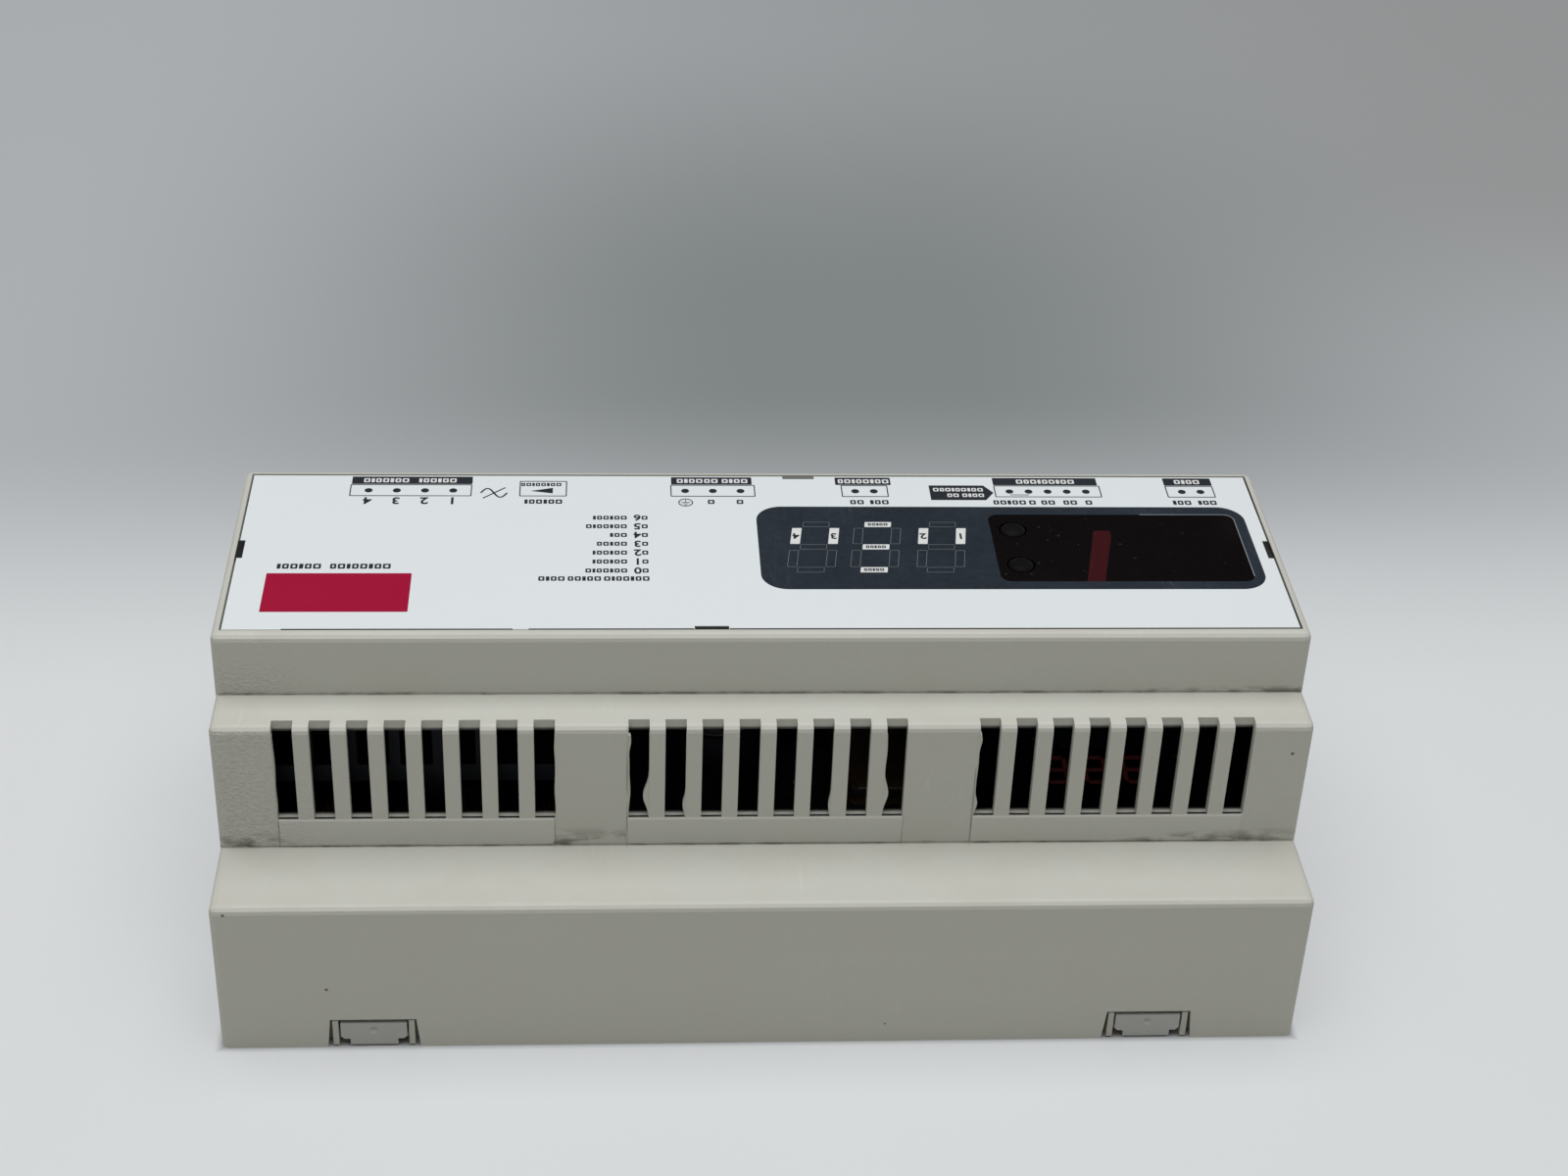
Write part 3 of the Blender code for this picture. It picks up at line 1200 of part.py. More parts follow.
def build_control_parts():
    """The processor on the control board and the link that bridges the two boards."""
    x, y = PROCESSOR_X, PROCESSOR_Y
    half = PROCESSOR_SIZE / 2
    low, high = (x - half, y - half, SEAT), (x + half, y + half, SEAT + PROCESSOR_HEIGHT)
    box("processor", low, high, EPOXY_BLACK, True, bevel=PROCESSOR_EDGE)
    size_x, size_y, size_z = LINK_SIZE
    low = (BOARD_SPLIT_X - size_x / 2, LINK_Y - size_y / 2, SEAT)
    high = (BOARD_SPLIT_X + size_x / 2, LINK_Y + size_y / 2, SEAT + size_z)
    box("board_link", low, high, SWITCH_BODY, True, bevel=LINK_EDGE)


def main():
    build_hood()
    build_base()
    build_clip("rail_clip_left", -CLIP_X)
    build_clip("rail_clip_right", CLIP_X)
    build_front_panel()
    build_window()
    build_buttons()
    build_switches()
    build_button_guide()
    build_display()
    build_boards()
    build_board_screws()
    for block in BLOCKS:
        build_terminal_block(block)
    build_heat_sink()
    build_transistors()
    build_chokes()
    build_transformer()
    build_capacitors()
    build_fuse()
    build_control_parts()


main()
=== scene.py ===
"""Looks of a four-channel transistor dimmer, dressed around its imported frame.

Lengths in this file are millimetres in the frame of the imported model: +X to the right
along the hood, +Y towards the terminals, +Z up. The clips face -Y, and so does the
camera. Every mesh is worked out with numpy and turned into metres when it is made.
"""

import json
import logging
import math
from collections.abc import Callable, Iterable, Sequence
from dataclasses import dataclass, field
from enum import Enum

import bmesh
import bpy
import numpy as np
from mathutils import Matrix, Vector

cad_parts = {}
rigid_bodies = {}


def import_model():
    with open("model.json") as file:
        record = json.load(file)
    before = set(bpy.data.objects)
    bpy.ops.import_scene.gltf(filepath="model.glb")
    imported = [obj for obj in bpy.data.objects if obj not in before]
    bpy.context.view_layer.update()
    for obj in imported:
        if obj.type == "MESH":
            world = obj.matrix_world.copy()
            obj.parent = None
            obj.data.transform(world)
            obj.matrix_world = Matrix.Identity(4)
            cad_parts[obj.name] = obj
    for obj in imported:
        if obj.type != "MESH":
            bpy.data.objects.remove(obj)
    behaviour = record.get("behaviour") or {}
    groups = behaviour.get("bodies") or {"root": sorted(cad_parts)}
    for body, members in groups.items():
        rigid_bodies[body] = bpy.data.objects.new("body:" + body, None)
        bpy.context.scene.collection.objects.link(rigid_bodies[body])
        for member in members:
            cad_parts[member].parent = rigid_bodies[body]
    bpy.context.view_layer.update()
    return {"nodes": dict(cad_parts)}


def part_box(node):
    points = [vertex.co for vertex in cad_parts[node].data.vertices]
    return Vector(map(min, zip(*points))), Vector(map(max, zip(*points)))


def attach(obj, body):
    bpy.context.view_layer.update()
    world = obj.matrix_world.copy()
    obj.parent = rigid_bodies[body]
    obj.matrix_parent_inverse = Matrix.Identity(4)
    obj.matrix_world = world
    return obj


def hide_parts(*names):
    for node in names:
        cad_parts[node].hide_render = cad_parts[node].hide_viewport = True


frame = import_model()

log = logging.getLogger("dimmer")

MM = 0.001
TURN = 2 * math.pi

# Levels and walls of the hood that the finishes and the printing follow
END = 80.0
NEAR = -45.0
FAR = 45.0
NEAR_VENT = -30.8
FAR_VENT = 32.6
FACE_NEAR = -22.4
FACE_FAR = 24.2
LEDGE = 26.4
SHOULDER = 47.8
FACE = 58.0
SILL = 31.4
PANEL_TOP = 57.9
BOARD_TOP = 12.0
PRINT_SINK = 0.02  # how far a printed field runs into what carries it
FILM = 0.04  # thickness of one printed layer
SHARP_ANGLE = math.radians(35)  # an edge that turns by more than this stays sharp

Colour = tuple[float, float, float]
Point = tuple[float, float]
Place = tuple[float, float, float]
Bump = tuple[float, float, float]  # level, reach and width of a bell curve
Word = tuple[float, int]  # x of a printed word's head, and its number of letters
Output = bpy.types.NodeSocket
Value = bpy.types.NodeSocket | float | Sequence[float]
Sockets = bpy.types.bpy_prop_collection


class Layer(Enum):
    """The printed layers of the front, by the height at which each one starts."""

    BASE = PANEL_TOP
    OVER = PANEL_TOP + FILM
    TOP = PANEL_TOP + 2 * FILM


@dataclass
class Surface:
    """A closed mesh in millimetres: points, four-sided faces and three-sided faces."""

    points: np.ndarray
    quads: np.ndarray = field(default_factory=lambda: np.zeros((0, 4), int))
    triangles: np.ndarray = field(default_factory=lambda: np.zeros((0, 3), int))

    def outward(self) -> "Surface":
        """Turns the faces round where the volume inside them comes out negative.

        The volume is the sum over the faces of corner a times the cross product of
        corners b and c, each four-sided face taken as two triangles.

        Returns:
            This surface, with its faces pointing outwards.
        """
        halves = [self.quads[:, (0, 1, 2)], self.quads[:, (0, 2, 3)], self.triangles]
        corners = self.points[np.concatenate(halves)]
        first, second, third = corners[:, 0], corners[:, 1], corners[:, 2]
        if np.einsum("ij,ij->", first, np.cross(second, third)) < 0:
            self.quads = self.quads[:, ::-1]
            self.triangles = self.triangles[:, ::-1]
        return self

    def moved(self, x: float, y: float, z: float) -> "Surface":
        """A copy of the surface moved by x, y and z."""
        return Surface(self.points + np.array((x, y, z)), self.quads, self.triangles)

    def laid(self) -> "Surface":
        """A copy whose +Z points along +Y, by a cyclic change of coordinates."""
        return Surface(self.points[:, (1, 2, 0)], self.quads, self.triangles)

    @staticmethod
    def merged(surfaces: Iterable["Surface"]) -> "Surface":
        """One surface that holds several closed ones side by side.

        Args:
            surfaces: The closed surfaces.

        Returns:
            A surface whose faces count on through all the points.
        """
        listed = list(surfaces)
        starts = np.cumsum([0] + [len(one.points) for one in listed[:-1]])
        return Surface(
            np.concatenate([one.points for one in listed]),
            np.concatenate([one.quads + start for one, start in zip(listed, starts)]),
            np.concatenate([one.triangles + start for one, start in zip(listed, starts)]),
        )


def grid_faces(rows: int, columns: int, ring_rows: bool, ring_columns: bool) -> np.ndarray:
    """Four-sided faces between the neighbours of a grid of points.

    Face (i, j) has the corners (i, j), (i, j + 1), (i + 1, j + 1) and (i + 1, j), counted
    modulo the grid's size where it closes on itself.

    Args:
        rows: Number of rows in the grid.
        columns: Number of columns in the grid.
        ring_rows: Whether the last row joins the first.
        ring_columns: Whether the last column joins the first.

    Returns:
        An array of corner numbers with four columns.
    """
    row = np.arange(rows if ring_rows else rows - 1)[:, None]
    column = np.arange(columns if ring_columns else columns - 1)[None, :]
    next_row, next_column = (row + 1) % rows, (column + 1) % columns
    corners = (
        row * columns + column,
        row * columns + next_column,
        next_row * columns + next_column,
        next_row * columns + column,
    )
    return np.stack(corners, axis=-1).reshape(-1, 4)


def loft(rings: np.ndarray) -> Surface:
    """A skin over closed rings, with a fan of triangles from the middle of each end ring.

    Args:
        rings: Array of shape (rings, points on a ring, 3).

    Returns:
        The closed surface.
    """
    rows, columns, _ = rings.shape
    middles = np.stack((rings[0].mean(axis=0), rings[-1].mean(axis=0)))
    points = np.concatenate((rings.reshape(-1, 3), middles))
    here = np.arange(columns)
    after = (here + 1) % columns
    last = (rows - 1) * columns
    near_fan = np.stack((np.full(columns, rows * columns), after, here), axis=1)
    far_fan = np.stack((np.full(columns, rows * columns + 1), last + here, last + after), axis=1)
    faces = grid_faces(rows, columns, False, True)
    return Surface(points, faces, np.concatenate((near_fan, far_fan))).outward()


def closed_loop(rings: np.ndarray) -> Surface:
    """A skin over closed rings whose last ring joins the first, as on a torus."""
    rows, columns, _ = rings.shape
    return Surface(rings.reshape(-1, 3), grid_faces(rows, columns, True, True)).outward()


def at_height(outline: np.ndarray, height: float) -> np.ndarray:
    """An (x, y) outline as (x, y, z) points at one height."""
    return np.column_stack((outline, np.full(len(outline), height)))


def plate(outline: np.ndarray, low: float, high: float, edge: float = 0.0) -> Surface:
    """A flat outline carried upwards, with a sloped edge round its top where one is given.

    The sloped edge draws each point of the outline towards its middle by the edge's share
    of the point's distance.

    Args:
        outline: (x, y) points of an outline that its middle sees whole.
        low: Height of the lower face.
        high: Height of the upper face.
        edge: Width and height of the sloped edge.

    Returns:
        The closed plate.
    """
    if not edge:
        return loft(np.stack((at_height(outline, low), at_height(outline, high))))
    middle = outline.mean(axis=0)
    arm = outline - middle
    inner = middle + arm * (1 - edge / np.linalg.norm(arm, axis=1, keepdims=True))
    levels = ((outline, low), (outline, high - edge), (inner, high))
    return loft(np.stack([at_height(points, height) for points, height in levels]))


def hollow_plate(outer: np.ndarray, inner: np.ndarray, low: float, high: float) -> Surface:
    """A flat ring between two outlines that have the same number of points."""
    levels = ((outer, low), (outer, high), (inner, high), (inner, low))
    return closed_loop(np.stack([at_height(points, height) for points, height in levels]))


def rounded_rectangle(x: Point, y: Point, radius: float, steps: int = 6) -> np.ndarray:
    """The outline of a rectangle whose corners are quarter circles.

    Corner k stands at its circle's middle plus the radius times (cos a, sin a), with a
    running over a quarter turn from k quarter turns.

    Args:
        x: Lowest and highest x.
        y: Lowest and highest y.
        radius: Radius of the corners.
        steps: Steps round each corner.

    Returns:
        An array of (x, y) points, counted anticlockwise.
    """
    middles = np.array(
        (
            (x[1] - radius, y[1] - radius),
            (x[0] + radius, y[1] - radius),
            (x[0] + radius, y[0] + radius),
            (x[1] - radius, y[0] + radius),
        )
    )
    angle = TURN / 4 * (np.arange(4)[:, None] + np.linspace(0, 1, steps + 1)[None, :])
    arms = radius * np.stack((np.cos(angle), np.sin(angle)), axis=-1)
    return (middles[:, None, :] + arms).reshape(-1, 2)


def circle(x: float, y: float, radius: float, facets: int = 24) -> np.ndarray:
    """Points (x + r cos a, y + r sin a) for a from nothing to a whole turn."""
    angle = np.linspace(0, TURN, facets, endpoint=False)
    return np.column_stack((x + radius * np.cos(angle), y + radius * np.sin(angle)))


def block(low: Sequence[float], high: Sequence[float], edge: float = 0.0) -> Surface:
    """A box between two corners, with a sloped edge round its top where one is given."""
    outline = np.array(((high[0], high[1]), (low[0], high[1]), (low[0], low[1]), (high[0], low[1])))
    return plate(outline, low[2], high[2], edge)


def turned(profile: Sequence[Point], x: float, y: float, facets: int = 32) -> Surface:
    """A profile of (radius, height) pairs turned about an upright axis.

    Point (i, j) is (x + r_i cos a_j, y + r_i sin a_j, z_i), with a_j running round the axis.

    Args:
        profile: (radius, height) pairs from one end to the other.
        x: Place of the axis.
        y: Place of the axis.
        facets: Facets round the axis.

    Returns:
        The closed turned piece.
    """
    radius, height = np.array(profile, float).T
    angle = np.linspace(0, TURN, facets, endpoint=False)
    rings = np.stack(
        (
            x + radius[:, None] * np.cos(angle)[None, :],
            y + radius[:, None] * np.sin(angle)[None, :],
            np.repeat(height[:, None], facets, axis=1),
        ),
        axis=-1,
    )
    return loft(rings)


def ribbon(path: np.ndarray, width: float, low: float, high: float) -> Surface:
    """A flat stroke: a rectangle carried along an (x, y) path, square to it.

    Each point of the path is moved sideways by half the width, once to each side, along
    the direction of the path turned by a quarter turn.

    Args:
        path: (x, y) points.
        width: Width of the stroke.
        low: Height of its lower face.
        high: Height of its upper face.

    Returns:
        The closed stroke.
    """
    along = np.gradient(path, axis=0)
    along /= np.linalg.norm(along, axis=1, keepdims=True)
    side = np.column_stack((-along[:, 1], along[:, 0])) * width / 2
    corners = ((path - side, low), (path + side, low), (path + side, high), (path - side, high))
    return loft(np.stack([at_height(points, level) for points, level in corners], axis=1))


def swept(path: np.ndarray, radius: float, facets: int = 6) -> Surface:
    """A round wire along a path in space.

    At each point the wire's ring lies in the plane of two arms, both square to the path:
    the first is square to +Z as well, and the second is square to the first.

    Args:
        path: (x, y, z) points, never running straight up.
        radius: Radius of the wire.
        facets: Facets round the wire.

    Returns:
        The closed wire.
    """
    along = np.vstack((path[1:], path[-1:])) - np.vstack((path[:1], path[:-1]))
    along /= np.linalg.norm(along, axis=1, keepdims=True)
    first = np.cross(along, (0.0, 0.0, 1.0))
    first /= np.maximum(np.linalg.norm(first, axis=1, keepdims=True), 1e-9)
    second = np.cross(along, first)
    angle = np.linspace(0, TURN, facets, endpoint=False)[None, :, None]
    arms = np.cos(angle) * first[:, None, :] + np.sin(angle) * second[:, None, :]
    return loft(path[:, None, :] + radius * arms)


class Graph:
    """A pen for one node tree: it adds nodes, fills their inputs and joins them."""

    def __init__(self, tree: bpy.types.NodeTree) -> None:
        """Keeps the tree that the pen writes in."""
        self.tree = tree

    def add(self, kind: str, inputs: dict | None = None, **settings: object) -> bpy.types.Node:
        """Adds a node, sets its properties and fills its inputs.

        Args:
            kind: Type of the node.
            inputs: Socket name or number to a value or to another node's output.
            **settings: Properties of the node.

        Returns:
            The new node.
        """
        node = self.tree.nodes.new(kind)
        for name, value in settings.items():
            setattr(node, name, value)
        for socket, value in (inputs or {}).items():
            self.put(node.inputs[socket], value)
        return node

    def put(self, socket: bpy.types.NodeSocket, value: Value) -> None:
        """Joins an output to a socket, or writes a value into it.

        Args:
            socket: The input to fill.
            value: Another node's output, or a plain value.
        """
        if isinstance(value, bpy.types.NodeSocket):
            self.tree.links.new(value, socket)
        elif isinstance(socket, bpy.types.NodeSocketColor) and len(value) == 3:
            socket.default_value = (*value, 1.0)
        else:
            socket.default_value = value

    def math(self, operation: str, *values: Value, clamp: bool = False) -> Output:
        """The result of one calculation on numbers or outputs."""
        inputs = dict(enumerate(values))
        return self.add("ShaderNodeMath", inputs, operation=operation, use_clamp=clamp).outputs[0]

    def times(self, first: Value, *others: Value) -> Output:
        """The product of several numbers.

        Args:
            first: An output or a number.
            *others: More of them.

        Returns:
            The output that holds it.
        """
        for value in others:
            first = self.math("MULTIPLY", first, value)
        return first

    def scaled(
        self, value: Value, factor: Value, offset: Value, clamp: bool = False
    ) -> Output:
        """A value times a factor, plus an offset."""
        return self.math("MULTIPLY_ADD", value, factor, offset, clamp=clamp)

    def apart(self, first: Value, second: Value) -> Output:
        """How far two numbers are apart."""
        return self.math("ABSOLUTE", self.math("SUBTRACT", first, second))

    def mix(self, share: Value, low: Value, high: Value) -> Output:
        """A colour between two colours, by a share from 0 to 1."""
        inputs = {0: share, 6: low, 7: high}
        return self.add("ShaderNodeMix", inputs, data_type="RGBA").outputs[2]

    def ramp(self, value: Value, start: float, end: float) -> Output:
        """A smooth step: 0 where the value is at start, 1 where it is at end.

        Args:
            value: What the step follows.
            start: Value where it is 0.
            end: Value where it is 1.

        Returns:
            The output that holds it.
        """
        inputs = {"Value": value, "From Min": start, "From Max": end}
        node = self.add("ShaderNodeMapRange", inputs, interpolation_type="SMOOTHSTEP")
        return node.outputs["Result"]

    def step(self, value: Value, span: Point) -> Output:
        """A smooth step over a span in millimetres: 0 at its start, 1 at its end."""
        return self.ramp(value, span[0] * MM, span[1] * MM)

    def noise(self, at: Value, scale: float, detail: float = 3.0) -> Output:
        """Soft noise from 0 to 1 with a scale in waves for each metre."""
        inputs = {"Vector": at, "Scale": scale, "Detail": detail}
        return self.add("ShaderNodeTexNoise", inputs).outputs[0]

    def stretched(self, at: Value, scale: Sequence[float]) -> Output:
        """A place with each coordinate multiplied by its own factor."""
        return self.add("ShaderNodeMapping", {"Vector": at, "Scale": scale}).outputs[0]

    def place(self) -> Output:
        """The place of a point on its own object, in metres."""
        return self.add("ShaderNodeTexCoord").outputs["Object"]

    def axes(self, at: Value) -> tuple[Output, ...]:
        """The three coordinates of a place."""
        return tuple(self.add("ShaderNodeSeparateXYZ", {0: at}).outputs)

    def highest(self, values: Sequence[Value]) -> Output:
        """The highest of several numbers.

        Args:
            values: Outputs or plain numbers.

        Returns:
            The output that holds it.
        """
        result = values[0]
        for value in values[1:]:
            result = self.math("MAXIMUM", result, value)
        return result

    def lowest(self, values: Sequence[Value]) -> Output:
        """The lowest of several numbers.

        Args:
            values: Outputs or plain numbers.

        Returns:
            The output that holds it.
        """
        result = values[0]
        for value in values[1:]:
            result = self.math("MINIMUM", result, value)
        return result


class Effect:
    """A shader node group that several finishes place with their own values."""

    def __init__(
        self,
        name: str,
        inputs: dict[str, tuple[str, object]],
        outputs: dict[str, str],
        draw: Callable[[Graph, dict, dict], None],
    ) -> None:
        """Builds the group once.

        Args:
            name: Name of the group.
            inputs: Input name to its kind of socket and its usual value.
            outputs: Output name to its kind of socket.
            draw: Fills the group from its inputs to its outputs.
        """
        self.tree = bpy.data.node_groups.new(name, "ShaderNodeTree")
        for socket, (kind, value) in inputs.items():
            made = self.tree.interface.new_socket(socket, in_out="INPUT", socket_type=kind)
            if value is not None:
                made.default_value = value
        for socket, kind in outputs.items():
            self.tree.interface.new_socket(socket, in_out="OUTPUT", socket_type=kind)
        graph = Graph(self.tree)
        entry, end = graph.add("NodeGroupInput"), graph.add("NodeGroupOutput")
        ins = {one.name: one for one in entry.outputs if one.name}
        outs = {one.name: one for one in end.inputs if one.name}
        draw(graph, ins, outs)

    def put_in(self, graph: Graph, **inputs: Value) -> Sockets:
        """Places the group in a tree and returns its outputs.

        Args:
            graph: Pen of the tree.
            **inputs: Input name to an output or a value.

        Returns:
            The placed group's outputs by name.
        """
        node = graph.add("ShaderNodeGroup", node_tree=self.tree)
        for name, value in inputs.items():
            graph.put(node.inputs[name], value)
        return node.outputs


VECTOR, NUMBER = "NodeSocketVector", "NodeSocketFloat"


def draw_grain(graph: Graph, ins: dict, outs: dict) -> None:
    """Moulded grain: fine pits, wide unevenness and a slow change of tone.

    Args:
        graph: Pen of the group.
        ins: Its inputs by name.
        outs: Its outputs by name.
    """
    fine = graph.noise(ins["Place"], 2600.0, 2.0)
    wide = graph.noise(ins["Place"], 260.0, 3.0)
    graph.put(outs["Height"], graph.math("ADD", graph.times(fine, ins["Pits"]), wide))
    slow = graph.noise(ins["Place"], 26.0, 4.0)
    speck = graph.noise(ins["Place"], 900.0, 2.0)
    both = graph.math("ADD", graph.times(slow, 0.65), graph.times(speck, 0.35))
    graph.put(outs["Tone"], both)


def draw_dust(graph: Graph, ins: dict, outs: dict) -> None:
    """Dust: patchy, thick on faces that look up and thin on the walls.

    Args:
        graph: Pen of the group.
        ins: Its inputs by name.
        outs: Its outputs by name.
    """
    up = graph.axes(graph.add("ShaderNodeNewGeometry").outputs["Normal"])[2]
    flat = graph.ramp(up, 0.2, 0.9)
    patch = graph.ramp(graph.noise(ins["Place"], 95.0, 6.0), 0.42, 0.72)
    share = graph.scaled(flat, 0.8, 0.2)
    graph.put(outs["Cover"], graph.times(patch, share, ins["Amount"]))


def draw_scuffs(graph: Graph, ins: dict, outs: dict) -> None:
    """Scuffs: short thin scratches, where a stretched noise crosses its middle.

    Args:
        graph: Pen of the group.
        ins: Its inputs by name.
        outs: Its outputs by name.
    """
    marks = []
    for number, turn in enumerate((0.3, 1.15, 2.3)):
        mapping = graph.add("ShaderNodeMapping", {"Vector": ins["Place"]})
        mapping.inputs["Rotation"].default_value = (0.4 * number, 0.2, turn)
        mapping.inputs["Scale"].default_value = (1.0, 0.05, 0.4)
        wave = graph.noise(mapping.outputs[0], 420.0, 1.0)
        line = graph.apart(wave, 0.5)
        marks.append(graph.ramp(line, 0.006, 0.0))
    where = graph.ramp(graph.noise(ins["Place"], 60.0, 3.0), 0.55, 0.68)
    scratch = graph.times(graph.highest(marks), where)
    graph.put(outs["Scratch"], graph.times(scratch, ins["Amount"]))


def draw_brush(graph: Graph, ins: dict, outs: dict) -> None:
    """Brushed or drawn metal: fine lines along one axis with a slow change of gloss.

    Args:
        graph: Pen of the group.
        ins: Its inputs by name.
        outs: Its outputs by name.
    """
    inputs = {0: ins["Place"], 1: ins["Along"]}
    drawn_out = graph.add("ShaderNodeVectorMath", inputs, operation="MULTIPLY").outputs[0]
    lines = graph.noise(drawn_out, 1500.0, 3.0)
    slow = graph.noise(ins["Place"], 180.0, 2.0)
    graph.put(outs["Lines"], lines)
    graph.put(outs["Gloss"], graph.scaled(slow, 0.5, graph.times(lines, 0.5)))


def draw_steps(graph: Graph, ins: dict, outs: dict) -> None:
    """Distances on the hood, in metres: to its edges, to its steps' feet and in from its skin.

    The hood's section is three boxes, one in the other. The way in from a box's skin is the
    lowest of the ways from its two walls and its top, and the way in from the section's is
    the highest of the three boxes'. The rim of an end is where that way and the way from
    the end are nothing together, and a long edge is where a wall and its top meet. A foot
    is the line where a wall stands on the ledge below it.

    Args:
        graph: Pen of the group.
        ins: Its inputs by name.
        outs: Its outputs by name.
    """
    x, y, z = graph.axes(ins["Place"])
    from_end = graph.math("SUBTRACT", END * MM, graph.math("ABSOLUTE", x))
    ways, edges, feet = [], [], []
    boxes = (
        (NEAR, FAR, LEDGE, 0.0),
        (NEAR_VENT, FAR_VENT, SHOULDER, LEDGE),
        (FACE_NEAR, FACE_FAR, FACE, SHOULDER),
    )
    for near, far, top, foot in boxes:
        down = graph.math("SUBTRACT", top * MM, z)
        walls = graph.math("SUBTRACT", y, near * MM), graph.math("SUBTRACT", far * MM, y)
        ways.append(graph.lowest((down, *walls)))
        above = graph.apart(z, foot * MM)
        for wall in walls:
            beside = graph.math("ABSOLUTE", wall)
            edges.append(graph.highest((graph.math("ABSOLUTE", down), beside)))
            if foot:
                feet.append(graph.math("ADD", beside, above))
    depth = graph.highest(ways)
    edges.append(graph.highest((graph.math("ABSOLUTE", depth), graph.math("ABSOLUTE", from_end))))
    graph.put(outs["Edge"], graph.lowest(edges))
    graph.put(outs["Foot"], graph.lowest(feet))
    graph.put(outs["Depth"], graph.lowest((depth, from_end)))


GRAIN = Effect(
    "moulded_grain",
    {"Place": (VECTOR, None), "Pits": (NUMBER, 0.5)},
    {"Height": NUMBER, "Tone": NUMBER},
    draw_grain,
)
DUST = Effect(
    "settled_dust",
    {"Place": (VECTOR, None), "Amount": (NUMBER, 0.3)},
    {"Cover": NUMBER},
    draw_dust,
)
SCUFFS = Effect(
    "scuffs",
    {"Place": (VECTOR, None), "Amount": (NUMBER, 0.5)},
    {"Scratch": NUMBER},
    draw_scuffs,
)
BRUSH = Effect(
    "brushed_lines",
    {"Place": (VECTOR, None), "Along": (VECTOR, (1.0, 0.02, 1.0))},
    {"Lines": NUMBER, "Gloss": NUMBER},
    draw_brush,
)
STEPS = Effect(
    "hood_steps",
    {"Place": (VECTOR, None)},
    {"Edge": NUMBER, "Foot": NUMBER, "Depth": NUMBER},
    draw_steps,
)

DUST_TINT: Colour = (0.42, 0.39, 0.34)
SCUFF_TINT: Colour = (0.62, 0.62, 0.60)  # where a print is scuffed


def shade(colour: Colour, factor: float) -> Colour:
    """A colour made darker or lighter by one factor."""
    return tuple(min(1.0, part * factor) for part in colour)


@dataclass(frozen=True)
class Finish:
    """What every finish has: a name, a colour and a roughness."""

    name: str
    colour: Colour
    roughness: float = 0.5
    gloss: float = 0.5

    def material(self) -> bpy.types.Material:
        """The finish as a material, made the first time that it is asked for.

        Returns:
            The material.
        """
        found = bpy.data.materials.get(self.name)
        if found:
            return found
        made = bpy.data.materials.new(self.name)
        made.use_nodes = True
        made.diffuse_color = (*self.colour, 1.0)
        graph = Graph(made.node_tree)
        sockets = made.node_tree.nodes["Principled BSDF"].inputs
        graph.put(sockets["Base Color"], self.colour)
        graph.put(sockets["Roughness"], self.roughness)
        graph.put(sockets["Specular IOR Level"], self.gloss)
        self.paint(graph, sockets, graph.place())
        return made

    def paint(self, graph: Graph, sockets: Sockets, at: Value) -> None:
        """Draws what changes over the surface. Each kind of finish has its own."""

    def bump(self, graph: Graph, sockets: Sockets, height: Value, depth: float) -> None:
        """Raises the surface by a height from 0 to 1 times a depth in millimetres."""
        inputs = {"Height": height, "Distance": depth * MM, "Strength": 1.0}
        graph.put(sockets["Normal"], graph.add("ShaderNodeBump", inputs).outputs[0])


@dataclass(frozen=True)
class Moulded(Finish):
    """Moulded plastic: pits and waves of the mould, a slow change of tone, dust and scuffs."""

    spread: float = 0.04
    pits: float = 0.5
    depth: float = 0.03
    dust: float = 0.25
    wear: float = 0.35

    def base(self, graph: Graph, at: Value, tone: Value) -> Output:
        """The plastic's own colour before dust and scuffs."""
        return graph.mix(tone, shade(self.colour, 1 - self.spread), shade(self.colour, 1 + self.spread))

    def paint(self, graph: Graph, sockets: Sockets, at: Value) -> None:
        """Joins grain, tone, dust and scuffs to the shader.

        Args:
            graph: Pen of the material.
            sockets: Inputs of its shader.
            at: Place on the object.
        """
        grain = GRAIN.put_in(graph, Place=at, Pits=self.pits)
        cover = DUST.put_in(graph, Place=at, Amount=self.dust)["Cover"]
        scratch = SCUFFS.put_in(graph, Place=at, Amount=self.wear)["Scratch"]
        colour = graph.mix(cover, self.base(graph, at, grain["Tone"]), shade(DUST_TINT, 1.2))
        colour = graph.mix(graph.times(scratch, 0.5), colour, shade(self.colour, 1.35))
        graph.put(sockets["Base Color"], colour)
        rough = graph.scaled(grain["Tone"], 0.12, self.roughness - 0.06)
        rough = graph.scaled(scratch, -0.12, rough)
        graph.put(sockets["Roughness"], graph.scaled(cover, 0.25, rough, clamp=True))
        self.bump(graph, sockets, self.relief(graph, at, grain["Height"]), self.depth)

    def relief(self, graph: Graph, at: Value, height: Value) -> Output:
        """Height of the skin: the shared grain as it is."""
        return height


